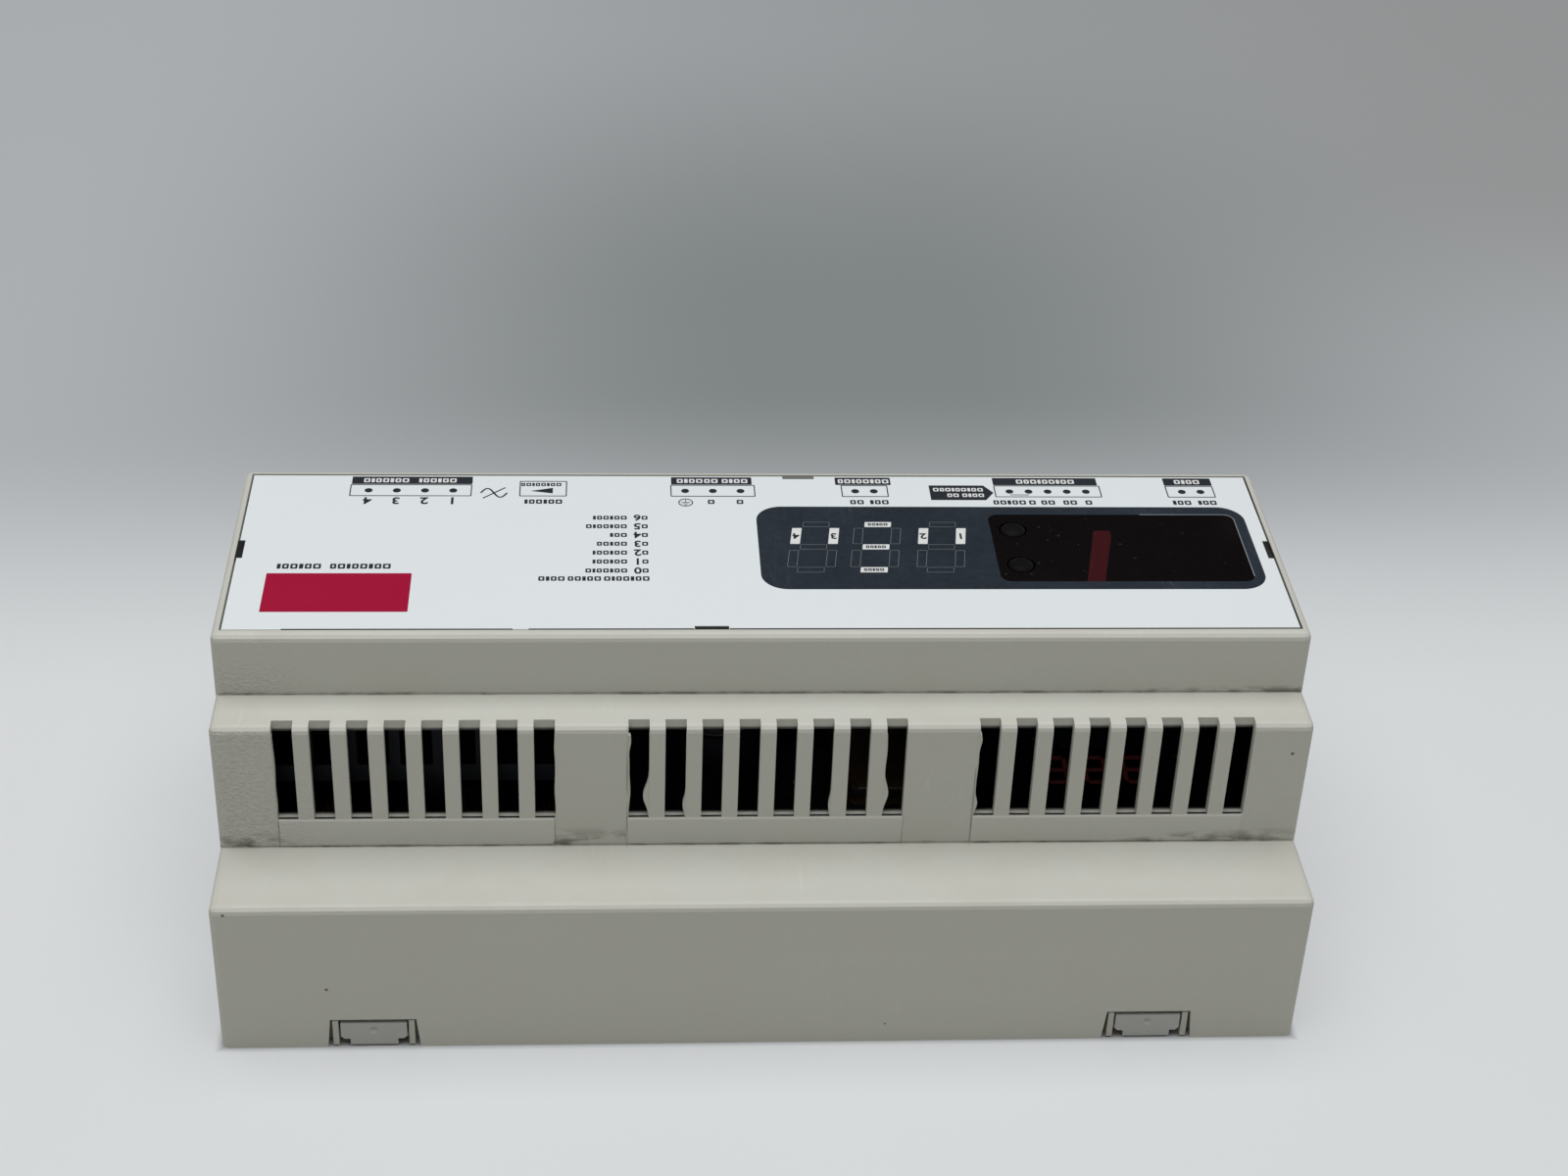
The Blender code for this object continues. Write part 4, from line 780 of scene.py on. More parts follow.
@dataclass(frozen=True)
class HoodPlastic(Moulded):
    """The hood's plastic: a painted highlight along its edges, painted shade and patchy dirt at the foot of
    each step, painted shade inside.

    The vent wall has a fine dark line of dirt at each end of a group of slots, where the mould's insert met
    it, and a painted highlight along the lip below the slots.
    """

    # Dark colour of the painted shade above each foot and over the coarse grain, and of the dirt lines and
    # specks
    grime: Colour = (0.085, 0.074, 0.054)
    # Pale colour of the streaks and of the painted highlight on the edges, the lip and the coarse grain's
    # crests
    worn: Colour = (0.66, 0.655, 0.61)
    # Colour of the painted shade on the hood's inner faces, the seat under the panel among them
    inside: Colour = (0.016, 0.016, 0.015)
    tall_lines: tuple[float, ...] = (-30.95, -20.4, 30.55)
    low_lines: tuple[float, ...] = (-71.1, 20.35)
    groups: tuple[float, ...] = (-50.985, 0.0, 50.985)
    group_half: float = 20.2
    line_span: Point = (0.16, 0.04)
    # Reach of the painted highlight along the lip below the slots
    lip_span: Point = (0.4, 0.1)
    # Where the painted shade above the vent wall's foot reaches further
    heavy_low: Point = (38.0, 34.0)
    heavy_from: Point = (-31.4, -30.7)
    heavy_to: Point = (-20.1, -20.7)
    heavy_left: Point = (-68.0, -73.0)
    heavy_right: Point = (50.0, 68.0)
    coarse_vent: Point = (46.0, 36.0)
    coarse_face: Point = (55.0, 50.0)
    coarse_end: Point = (-61.0, -77.0)
    # Reaches of the painted highlight on the edges, of the painted shade line at each foot, of the painted
    # shade inside and of the painted shade above each foot
    edge_span: Point = (1.3, 0.1)
    foot_span: Point = (0.42, 0.08)
    skin_span: Point = (1.1, 1.65)
    grime_reach: Point = (0.55, 2.9)
    spots: tuple[tuple[Place, float], ...] = (
        ((-64.07, NEAR, 11.2), 0.34),
        ((-77.9, NEAR, 25.3), 0.32),
        ((77.2, NEAR_VENT, 42.6), 0.35),
        ((18.0, NEAR, 3.4), 0.22),
    )

    def wall_marks(self, graph: Graph, at: Value) -> tuple[Output, Output]:
        """Masks on the vent wall of the lines of dirt and of the painted highlight along the lip below the
        slots.

        Args:
            graph: Pen of the material.
            at: Place on the object.

        Returns:
            The lines' mask and the mask of the lip's painted highlight, from 0 to 1.
        """
        x, y, z = graph.axes(at)
        on_wall = graph.math("COMPARE", y, NEAR_VENT * MM, 0.5 * MM)
        lines = []
        for places, top in ((self.tall_lines, SHOULDER), (self.low_lines, SILL)):
            low = graph.math("LESS_THAN", z, top * MM)
            for place in places:
                off = graph.apart(x, place * MM)
                lines.append(graph.times(graph.step(off, self.line_span), low))
        patchy = graph.ramp(graph.noise(at, 210.0, 4.0), 0.30, 0.62)
        dirt = graph.times(graph.highest(lines), on_wall, patchy)
        inside_group = graph.highest(
            [graph.math("COMPARE", x, place * MM, self.group_half * MM) for place in self.groups]
        )
        level = graph.apart(z, (SILL - 0.1) * MM)
        lip = graph.times(graph.step(level, self.lip_span), inside_group)
        return dirt, graph.times(lip, on_wall)

    def heavier(self, graph: Graph, at: Value) -> Output:
        """Where the painted shade and dirt above the foot reach further: between two groups and at both
        ends of the vent wall.

        Args:
            graph: Pen of the material.
            at: Place on the object.

        Returns:
            A share from 0 to 1.
        """
        x, _, z = graph.axes(at)
        low = graph.step(z, self.heavy_low)
        between = graph.lowest((graph.step(x, self.heavy_from), graph.step(x, self.heavy_to)))
        left = graph.times(graph.step(x, self.heavy_left), 0.8)
        right = graph.times(graph.step(x, self.heavy_right), graph.scaled(low, 0.45, 0.25))
        return graph.highest((graph.times(graph.highest((between, left)), low), right))

    def specks(self, graph: Graph, at: Value) -> Output:
        """A few small dark spots, each round its own place.

        Args:
            graph: Pen of the material.
            at: Place on the object.

        Returns:
            A mask from 0 to 1.
        """
        spots = []
        for place, radius in self.spots:
            centre = tuple(part * MM for part in place)
            away = graph.add("ShaderNodeVectorMath", {0: at, 1: centre}, operation="DISTANCE")
            spots.append(graph.step(away.outputs[1], (radius, radius * 0.5)))
        return graph.highest(spots)

    def upright(self, graph: Graph) -> Output:
        """Where the skin is a wall and not a ledge."""
        up = graph.axes(graph.add("ShaderNodeNewGeometry").outputs["True Normal"])[2]
        return graph.ramp(up, 0.6, 0.2)

    def coarse(self, graph: Graph, at: Value) -> tuple[Output, Output]:
        """The mould's coarse grain, and where it shows: low at the left end of the upper walls.

        Args:
            graph: Pen of the material.
            at: Place on the object.

        Returns:
            The grain's height and the share of it that shows, from 0 to 1.
        """
        x, _, z = graph.axes(at)
        low = graph.highest((graph.step(z, self.coarse_vent), graph.step(z, self.coarse_face)))
        above = graph.times(graph.math("GREATER_THAN", z, LEDGE * MM), self.upright(graph))
        end = graph.times(graph.step(x, self.coarse_end), graph.scaled(low, 0.7, 0.3))
        marks = graph.noise(graph.stretched(at, (0.6, 1.0, 1.0)), 2900.0, 2.0)
        return marks, graph.times(end, above)

    def relief(self, graph: Graph, at: Value, height: Value) -> Output:
        """Adds the coarse grain to the shared one."""
        marks, where = self.coarse(graph, at)
        return graph.scaled(graph.times(marks, where), 5.0, height)

    def base(self, graph: Graph, at: Value, tone: Value) -> Output:
        """Tone and paler streaks, a painted highlight on the edges and the lip, painted shade and dirt
        above each foot, painted shade inside.

        Args:
            graph: Pen of the material.
            at: Place on the object.
            tone: Slow change of tone, from 0 to 1.

        Returns:
            The colour.
        """
        steps = STEPS.put_in(graph, Place=at)
        dirt, lip = self.wall_marks(graph, at)
        # Paler streaks stretched along X
        streak_noise = graph.noise(graph.stretched(at, (0.16, 1.0, 2.4)), 75.0, 5.0)
        streaks = graph.ramp(streak_noise, 0.50, 0.80)
        plain = Moulded.base(self, graph, at, tone)
        plain = graph.mix(graph.times(streaks, 0.10), plain, self.worn)
        marks, where = self.coarse(graph, at)
        # Painted highlight on the crests of the coarse grain, over a slightly darker tone
        crest_highlight = graph.times(graph.ramp(marks, 0.38, 0.62), where)
        plain = graph.mix(graph.times(where, 0.10), plain, self.grime)
        plain = graph.mix(graph.times(crest_highlight, 0.38), plain, self.worn)
        # Painted highlight along the hood's edges and along the lip below the slots
        near_edge = graph.step(steps["Edge"], self.edge_span)
        pale = graph.highest((graph.times(near_edge, 0.25), graph.times(lip, 0.6)))
        plain = graph.mix(pale, plain, self.worn)
        # Painted shade above the foot of each step, patchy, with a painted shade line at the foot, and the
        # dirt lines and specks
        foot_patch_noise = graph.noise(graph.stretched(at, (0.45, 1.0, 1.1)), 520.0, 8.0)
        patchy = graph.ramp(foot_patch_noise, 0.40, 0.62)
        thin, thick = self.grime_reach
        reach = graph.scaled(self.heavier(graph, at), thick * MM, thin * MM)
        soft = graph.math("SUBTRACT", 1.0, graph.math("DIVIDE", steps["Foot"], reach), clamp=True)
        soft = graph.times(soft, patchy, self.upright(graph))
        line = graph.step(steps["Foot"], self.foot_span)
        shade_and_dirt = (
            graph.times(soft, 0.9),
            graph.times(line, graph.scaled(patchy, 0.25, 0.35)),
            graph.times(dirt, 0.6),
            graph.times(self.specks(graph, at), 0.9),
        )
        outside = graph.mix(graph.highest(shade_and_dirt), plain, self.grime)
        # Painted shade on the hood's inner faces
        return graph.mix(graph.step(steps["Depth"], self.skin_span), outside, self.inside)


@dataclass(frozen=True)
class Printed(Finish):
    """An ink film: fine grain of the print, worn thin in places."""

    grain: float = 0.10
    wear: float = 0.25
    gloss_spread: float = 0.12
    dots: float = 1700.0

    def paint(self, graph: Graph, sockets: Sockets, at: Value) -> None:
        """Joins the print's grain and scuffs to the shader.

        Args:
            graph: Pen of the material.
            sockets: Inputs of its shader.
            at: Place on the object.
        """
        dots = graph.noise(at, self.dots, 2.0)
        wide = graph.noise(at, 60.0, 3.0)
        tone = graph.scaled(dots, 0.6, graph.times(wide, 0.4))
        colour = graph.mix(tone, shade(self.colour, 1 - self.grain), shade(self.colour, 1 + self.grain))
        scratch = SCUFFS.put_in(graph, Place=at, Amount=self.wear)["Scratch"]
        colour = graph.mix(graph.times(scratch, 0.35), colour, SCUFF_TINT)
        graph.put(sockets["Base Color"], colour)
        gloss = graph.scaled(wide, self.gloss_spread, self.roughness - self.gloss_spread / 2)
        graph.put(sockets["Roughness"], gloss)
        self.bump(graph, sockets, dots, 0.006)


@dataclass(frozen=True)
class Metal(Finish):
    """Bare or plated metal with drawn lines along one axis and dull patches."""

    along: Place = (1.0, 0.03, 1.0)
    dull: Colour = (0.30, 0.28, 0.25)
    lines: float = 0.02

    def paint(self, graph: Graph, sockets: Sockets, at: Value) -> None:
        """Joins lines, gloss and dull patches to the shader.

        Args:
            graph: Pen of the material.
            sockets: Inputs of its shader.
            at: Place on the object.
        """
        brush = BRUSH.put_in(graph, Place=at, Along=self.along)
        patch = graph.ramp(graph.noise(at, 320.0, 4.0), 0.55, 0.75)
        colour = graph.mix(brush["Lines"], shade(self.colour, 0.86), shade(self.colour, 1.08))
        graph.put(sockets["Base Color"], graph.mix(graph.times(patch, 0.6), colour, self.dull))
        rough = graph.scaled(brush["Gloss"], 0.2, self.roughness - 0.1)
        graph.put(sockets["Roughness"], graph.scaled(patch, 0.2, rough, clamp=True))
        sockets["Metallic"].default_value = 1.0
        self.bump(graph, sockets, brush["Lines"], self.lines)


@dataclass(frozen=True)
class TintedWindow(Finish):
    """Dark clear plastic with finger smears that dull its gloss."""

    clear: float = 0.12

    def paint(self, graph: Graph, sockets: Sockets, at: Value) -> None:
        """Joins the smears to the gloss and lets some light through.

        Args:
            graph: Pen of the material.
            sockets: Inputs of its shader.
            at: Place on the object.
        """
        smear = graph.ramp(graph.noise(graph.stretched(at, (1.0, 0.4, 1.0)), 140.0, 5.0), 0.45, 0.75)
        graph.put(sockets["Roughness"], graph.scaled(smear, 0.16, self.roughness))
        specks = graph.ramp(graph.noise(at, 1300.0, 1.0), 0.74, 0.80)
        share = graph.times(specks, 0.10)
        graph.put(sockets["Base Color"], graph.mix(share, self.colour, DUST_TINT))
        sockets["Alpha"].default_value = 1 - self.clear
        self.bump(graph, sockets, graph.noise(at, 90.0, 2.0), 0.02)


@dataclass(frozen=True)
class Lacquer(Finish):
    """A lacquered circuit board: copper tracks below the lacquer and tinned pads."""

    track: Colour = (0.010, 0.045, 0.024)
    pad: Colour = (0.25, 0.24, 0.21)

    def paint(self, graph: Graph, sockets: Sockets, at: Value) -> None:
        """Tracks lie on a grid of bricks, and pads stand on a finer grid of dots.

        Args:
            graph: Pen of the material.
            sockets: Inputs of its shader.
            at: Place on the object.
        """
        brick = {"Vector": at, "Scale": 105.0, "Mortar Size": 0.05, "Mortar Smooth": 0.1}
        first = graph.add("ShaderNodeTexBrick", brick, offset=0.37).outputs["Fac"]
        turned_place = graph.add("ShaderNodeMapping", {"Vector": at, "Rotation": (0.0, 0.0, TURN / 4)})
        brick["Vector"] = turned_place.outputs[0]
        second = graph.add("ShaderNodeTexBrick", brick, offset=0.21).outputs["Fac"]
        tracks = graph.highest((first, second))
        cell = graph.add("ShaderNodeTexVoronoi", {"Vector": at, "Scale": 330.0, "Randomness": 0.35})
        pads = graph.ramp(cell.outputs["Distance"], 0.26, 0.22)
        where = graph.ramp(graph.noise(at, 70.0, 2.0), 0.52, 0.55)
        pads = graph.times(pads, where)
        mottle = graph.noise(at, 420.0, 3.0)
        green = graph.mix(mottle, shade(self.colour, 0.85), shade(self.colour, 1.15))
        colour = graph.mix(graph.times(tracks, 0.8), green, self.track)
        graph.put(sockets["Base Color"], graph.mix(pads, colour, self.pad))
        graph.put(sockets["Metallic"], graph.times(pads, 0.8))
        height = graph.scaled(tracks, 0.6, pads)
        self.bump(graph, sockets, height, 0.05)


@dataclass(frozen=True)
class Glow(Finish):
    """A glow, a little uneven: painted light behind the window, and the display's segments and pilot lamps.
    """

    light: Colour = (1.0, 0.1, 0.05)
    strength: float = 1.0

    def paint(self, graph: Graph, sockets: Sockets, at: Value) -> None:
        """Joins a slightly uneven glow to the shader.

        Args:
            graph: Pen of the material.
            sockets: Inputs of its shader.
            at: Place on the object.
        """
        uneven = graph.noise(at, 300.0, 2.0)
        graph.put(sockets["Emission Color"], graph.mix(uneven, shade(self.light, 0.75), self.light))
        sockets["Emission Strength"].default_value = self.strength


@dataclass(frozen=True)
class Glass(Finish):
    """Clear glass with a faint haze."""

    def paint(self, graph: Graph, sockets: Sockets, at: Value) -> None:
        """Joins the haze to the gloss.

        Args:
            graph: Pen of the material.
            sockets: Inputs of its shader.
            at: Place on the object.
        """
        haze = graph.noise(at, 500.0, 3.0)
        graph.put(sockets["Roughness"], graph.scaled(haze, 0.08, self.roughness))
        sockets["Transmission Weight"].default_value = 0.85
        sockets["IOR"].default_value = 1.5
        self.bump(graph, sockets, haze, 0.004)


# Worn hood plastic, with painted shade at the feet and inside and a painted highlight on the edges
HOOD = HoodPlastic("hood_plastic_worn_painted_light", (0.552, 0.555, 0.502), 0.52, 0.4, spread=0.03, depth=0.045)
BASE = Moulded("base_plastic_worn", (0.480, 0.475, 0.425), 0.52)
CLIP = Moulded("clip_plastic_worn", (0.450, 0.452, 0.435), 0.40, pits=0.7, dust=0.2, wear=0.8)
LABEL = Printed("label_film_white", (0.770, 0.815, 0.830), 0.36, 0.4, grain=0.012, wear=0.10)
BEZEL = Printed("bezel_ink", (0.013, 0.020, 0.029), 0.42, 0.3, grain=0.85, wear=0.15, dots=1250.0)
NAVY = Printed("navy_ink", (0.014, 0.017, 0.024), 0.45, 0.3, grain=0.10, wear=0.0)
WHITE_INK = Printed("white_ink", (0.74, 0.75, 0.75), 0.42, grain=0.03, wear=0.0)
GREY_INK = Printed("grey_ink", (0.17, 0.19, 0.21), 0.45, 0.3, grain=0.20, wear=0.0)
CRIMSON = Printed("crimson_ink", (0.355, 0.0008, 0.034), 0.38, 0.3, grain=0.03, wear=0.0)
# Pale line of painted highlight along the window's far and right edges
EDGE_HIGHLIGHT = Printed("window_edge_painted_highlight", (0.26, 0.29, 0.31), 0.30, grain=0.35)
WINDOW = TintedWindow("dark_red_window_clear", (0.0035, 0.0022, 0.0025), 0.07, 0.30)
BUTTON = Moulded("button_black_worn", (0.003, 0.003, 0.0035), 0.55, 0.05, spread=0.2, dust=0.01, wear=0.10)
# Black of the button guide, and of the blocks, strips and sheet of painted shade
BLACK_GUIDE_AND_SHADE = Moulded("guide_black_and_painted_shade", (0.008, 0.008, 0.009), 0.55, 0.2, spread=0.15, dust=0.03)
SWITCH = Moulded("switch_black_moulded", (0.020, 0.020, 0.022), 0.45, spread=0.15, dust=0.1)
DISPLAY = Moulded("display_red_resin", (0.016, 0.006, 0.007), 0.34, 0.2, spread=0.15, pits=0.1, dust=0.02)
BOARD = Lacquer("board_green_lacquer", (0.005, 0.018, 0.011), 0.42, 0.2)
TERMINAL = Moulded("terminal_grey_moulded", (0.050, 0.053, 0.056), 0.45, spread=0.08)
STEEL = Metal("zinc_plated_steel_drawn", (0.36, 0.36, 0.35), 0.50, along=(1.0, 1.0, 0.05))
ALUMINIUM = Metal("black_anodised_aluminium", (0.016, 0.017, 0.019), 0.46, 0.2, dull=(0.012, 0.012, 0.012))
EPOXY = Moulded("epoxy_black_moulded", (0.010, 0.010, 0.011), 0.55, 0.2, spread=0.2, pits=0.9, dust=0.05)
COPPER = Metal(
    "enamelled_copper_wire", (0.085, 0.030, 0.014), 0.40, along=(1.0, 1.0, 1.0), dull=(0.05, 0.02, 0.01)
)
CORE = Moulded("pressed_powder_core", (0.030, 0.030, 0.020), 0.60, spread=0.12, pits=0.9, dust=0.1)
TAPE = Moulded("polyester_tape_wrapped", (0.080, 0.052, 0.024), 0.38, 0.3, spread=0.12, pits=0.2, dust=0.05)
FERRITE = Moulded("ferrite_core_ground", (0.016, 0.016, 0.018), 0.55, spread=0.2, pits=0.9, dust=0.1)
SLEEVE = Moulded(
    "capacitor_sleeve_shrunk", (0.010, 0.011, 0.018), 0.38, 0.25, spread=0.1, pits=0.2, dust=0.08
)
FILM_BOX = Moulded("film_capacitor_box_filled", (0.055, 0.042, 0.015), 0.42, spread=0.08, dust=0.1)
FUSE = Glass("fuse_glass_clear", (0.78, 0.82, 0.82), 0.06)
TINNED = Metal("tinned_brass_drawn", (0.50, 0.45, 0.34), 0.34, dull=(0.28, 0.23, 0.16))
# Painted light: a red glow behind the window that lights nothing round it
RED_GLOW = Glow("painted_glow_red", (0.02, 0.002, 0.002), 0.35, light=(1.0, 0.11, 0.15), strength=2.9)
SEGMENT = Glow("display_segment_red", (0.05, 0.008, 0.008), 0.35, light=(1.0, 0.20, 0.22), strength=0.012)
LAMP = Glow("pilot_lamp_red", (0.10, 0.01, 0.008), 0.30, light=(1.0, 0.08, 0.05), strength=0.02)


def box_of(node: str) -> tuple[np.ndarray, np.ndarray]:
    """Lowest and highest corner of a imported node, in millimetres."""
    low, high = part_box(node)
    return np.array(low) / MM, np.array(high) / MM


def solid(name: str, surface: Surface, finish: Finish) -> bpy.types.Object:
    """An object at the origin with a surface as its mesh, in metres, and a finish.

    Args:
        name: Name of the object and its mesh.
        surface: Its closed mesh, in millimetres.
        finish: Its finish.

    Returns:
        The new object, linked into the scene.
    """
    mesh = bpy.data.meshes.new(name)
    faces = surface.quads.tolist() + surface.triangles.tolist()
    mesh.from_pydata((surface.points * MM).tolist(), [], faces)
    mesh.validate()
    mesh.materials.append(finish.material())
    made = bpy.data.objects.new(name, mesh)
    bpy.context.scene.collection.objects.link(made)
    return made


def make(
    name: str,
    surface: Surface,
    finish: Finish,
    body: str = "housing",
    smooth: bool = False,
) -> bpy.types.Object:
    """Turns a surface into a finished piece that rides on a body.

    Args:
        name: Name of the piece.
        surface: Its closed mesh, in millimetres.
        finish: Its finish.
        body: The body that it moves with.
        smooth: Whether its faces are shaded as one smooth skin, apart from sharp edges.

    Returns:
        The new object, with its place in its mesh.
    """
    piece = solid(name, surface, finish)
    if smooth:
        piece.data.shade_smooth()
        piece.data.set_sharp_from_angle(angle=SHARP_ANGLE)
    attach(piece, body)
    return piece


def dress(finish: Finish, *nodes: str) -> None:
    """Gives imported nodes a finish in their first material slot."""
    for node in nodes:
        frame["nodes"][node].material_slots[0].material = finish.material()


@dataclass(frozen=True)
class Flash:
    """Thin waste on one side of a slot: the side's x, its way, and its (z, reach, width) bumps.

    It ends a little above the sill and below the shoulder, is rooted in the side and lies
    between two depths behind the wall's face.
    """

    x: float
    way: int
    bumps: tuple[Bump, ...]
    ends: Point = (0.1, 1.6)
    least: float = 0.04
    root: float = 0.3
    depths: Point = (0.12, 0.9)
    steps: int = 80

    def surface(self) -> Surface:
        """A thin sheet in the plane of the wall whose free edge is a sum of bell curves.

        The free edge stands at x + way (least + the sum of w exp(-((z - z0) / r)^2)) for
        bumps at z0 with a reach r and a width w.

        Returns:
            The closed sheet.
        """
        z = np.linspace(SILL + self.ends[0], SHOULDER - self.ends[1], self.steps)
        swell = sum(width * np.exp(-(((z - level) / reach) ** 2)) for level, reach, width in self.bumps)
        free = self.x + self.way * (self.least + swell)
        root = np.full_like(z, self.x - self.way * self.root)
        front, back = (np.full_like(z, NEAR_VENT + depth) for depth in self.depths)
        rings = ((root, front), (free, front), (free, back), (root, back))
        return loft(np.stack([np.column_stack((across, deep, z)) for across, deep in rings], axis=1))


@dataclass
class Hood:
    """The stepped hood: its packed shell with the marks that its mould left on the vent wall."""

    bands: tuple[Point, ...] = ((-71.1, -30.95), (-20.3, 20.3), (30.65, 71.1))
    band_proud: float = 0.07
    band_radius: float = 0.25
    band_back: float = 0.6
    band_foot: float = 0.25
    flashes: tuple[Flash, ...] = (
        Flash(-71.2, 1, ((41.0, 3.5, 0.16), (34.0, 2.0, 0.10))),
        Flash(-30.77, -1, ((44.0, 1.5, 0.12), (36.5, 2.0, 0.14))),
        Flash(-20.22, 1, ((45.3, 1.5, 0.34), (41.0, 2.2, 0.12), (36.2, 2.6, 0.26))),
        Flash(-17.16, -1, ((35.3, 2.2, 0.85),)),
        Flash(-11.82, -1, ((33.6, 1.5, 0.40),)),
        Flash(9.53, -1, ((33.4, 1.6, 0.30),)),
        Flash(17.17, 1, ((43.5, 3.0, 0.18), (35.6, 2.2, 0.70))),
        Flash(30.77, 1, ((45.2, 1.4, 0.34), (41.0, 2.5, 0.10), (33.6, 1.3, 0.42))),
    )

    def lips(self) -> Surface:
        """Plain bands below the slots, a hair proud of the wall, with a rounded upper edge.

        Each band is a section carried along X: its front stands proud of the wall and
        its upper edge is a quarter circle.

        Returns:
            The closed bands.
        """
        turn = np.linspace(0, TURN / 4, 5)
        radius, foot, back = self.band_radius, LEDGE + self.band_foot, NEAR_VENT + self.band_back
        front = NEAR_VENT - self.band_proud
        curve_y = front + radius - radius * np.cos(turn)
        curve_z = SILL - radius + radius * np.sin(turn)
        section_y = np.concatenate(((front,), curve_y, (back, back)))
        section_z = np.concatenate(((foot,), curve_z, (SILL, foot)))
        bands = []
        for x in self.bands:
            rings = [np.column_stack((np.full_like(section_y, end), section_y, section_z)) for end in x]
            bands.append(loft(np.stack(rings)))
        return Surface.merged(bands)

    def build(self) -> None:
        """Dresses the shell and adds the marks."""
        dress(HOOD, "housing_shell")
        make("hood_lower_bands", self.lips(), HOOD, smooth=True)
        for number, flash in enumerate(self.flashes, 1):
            make(f"hood_slot_flash_{number}", flash.surface(), HOOD, smooth=True)


@dataclass
class RailMount:
    """The base with its two sliding clips."""

    def build(self) -> None:
        """Dresses the base and the clips."""
        dress(BASE, "rail_base")
        dress(CLIP, "rail_clip_left", "rail_clip_right")


# The boxes that stand for letters, all as shares of a word's height: their widths, taken in
# turn, the width from which a box is hollow, half their height, their line and the gap
BOX_WIDTHS = (0.76, 0.66, 0.40, 0.70, 0.64, 0.36, 0.72, 0.60)
HOLLOW_FROM = 0.5
BOX_HALF = 0.44
BOX_LINE = 0.21
BOX_GAP = 0.16


@dataclass(frozen=True)
class TerminalMark:
    """The mark of one terminal block on the label.

    It has a frame round a row of dots, a dark strip beyond the frame with words in it, and
    words before the frame. The row of dots is its first x, its last x and their number, and
    a word is the x of its head and its number of letters.
    """

    frame: Point
    strip: Point
    dots: tuple[float, float, int]
    titles: tuple[Word, ...]
    ways: tuple[Word, ...] = ()


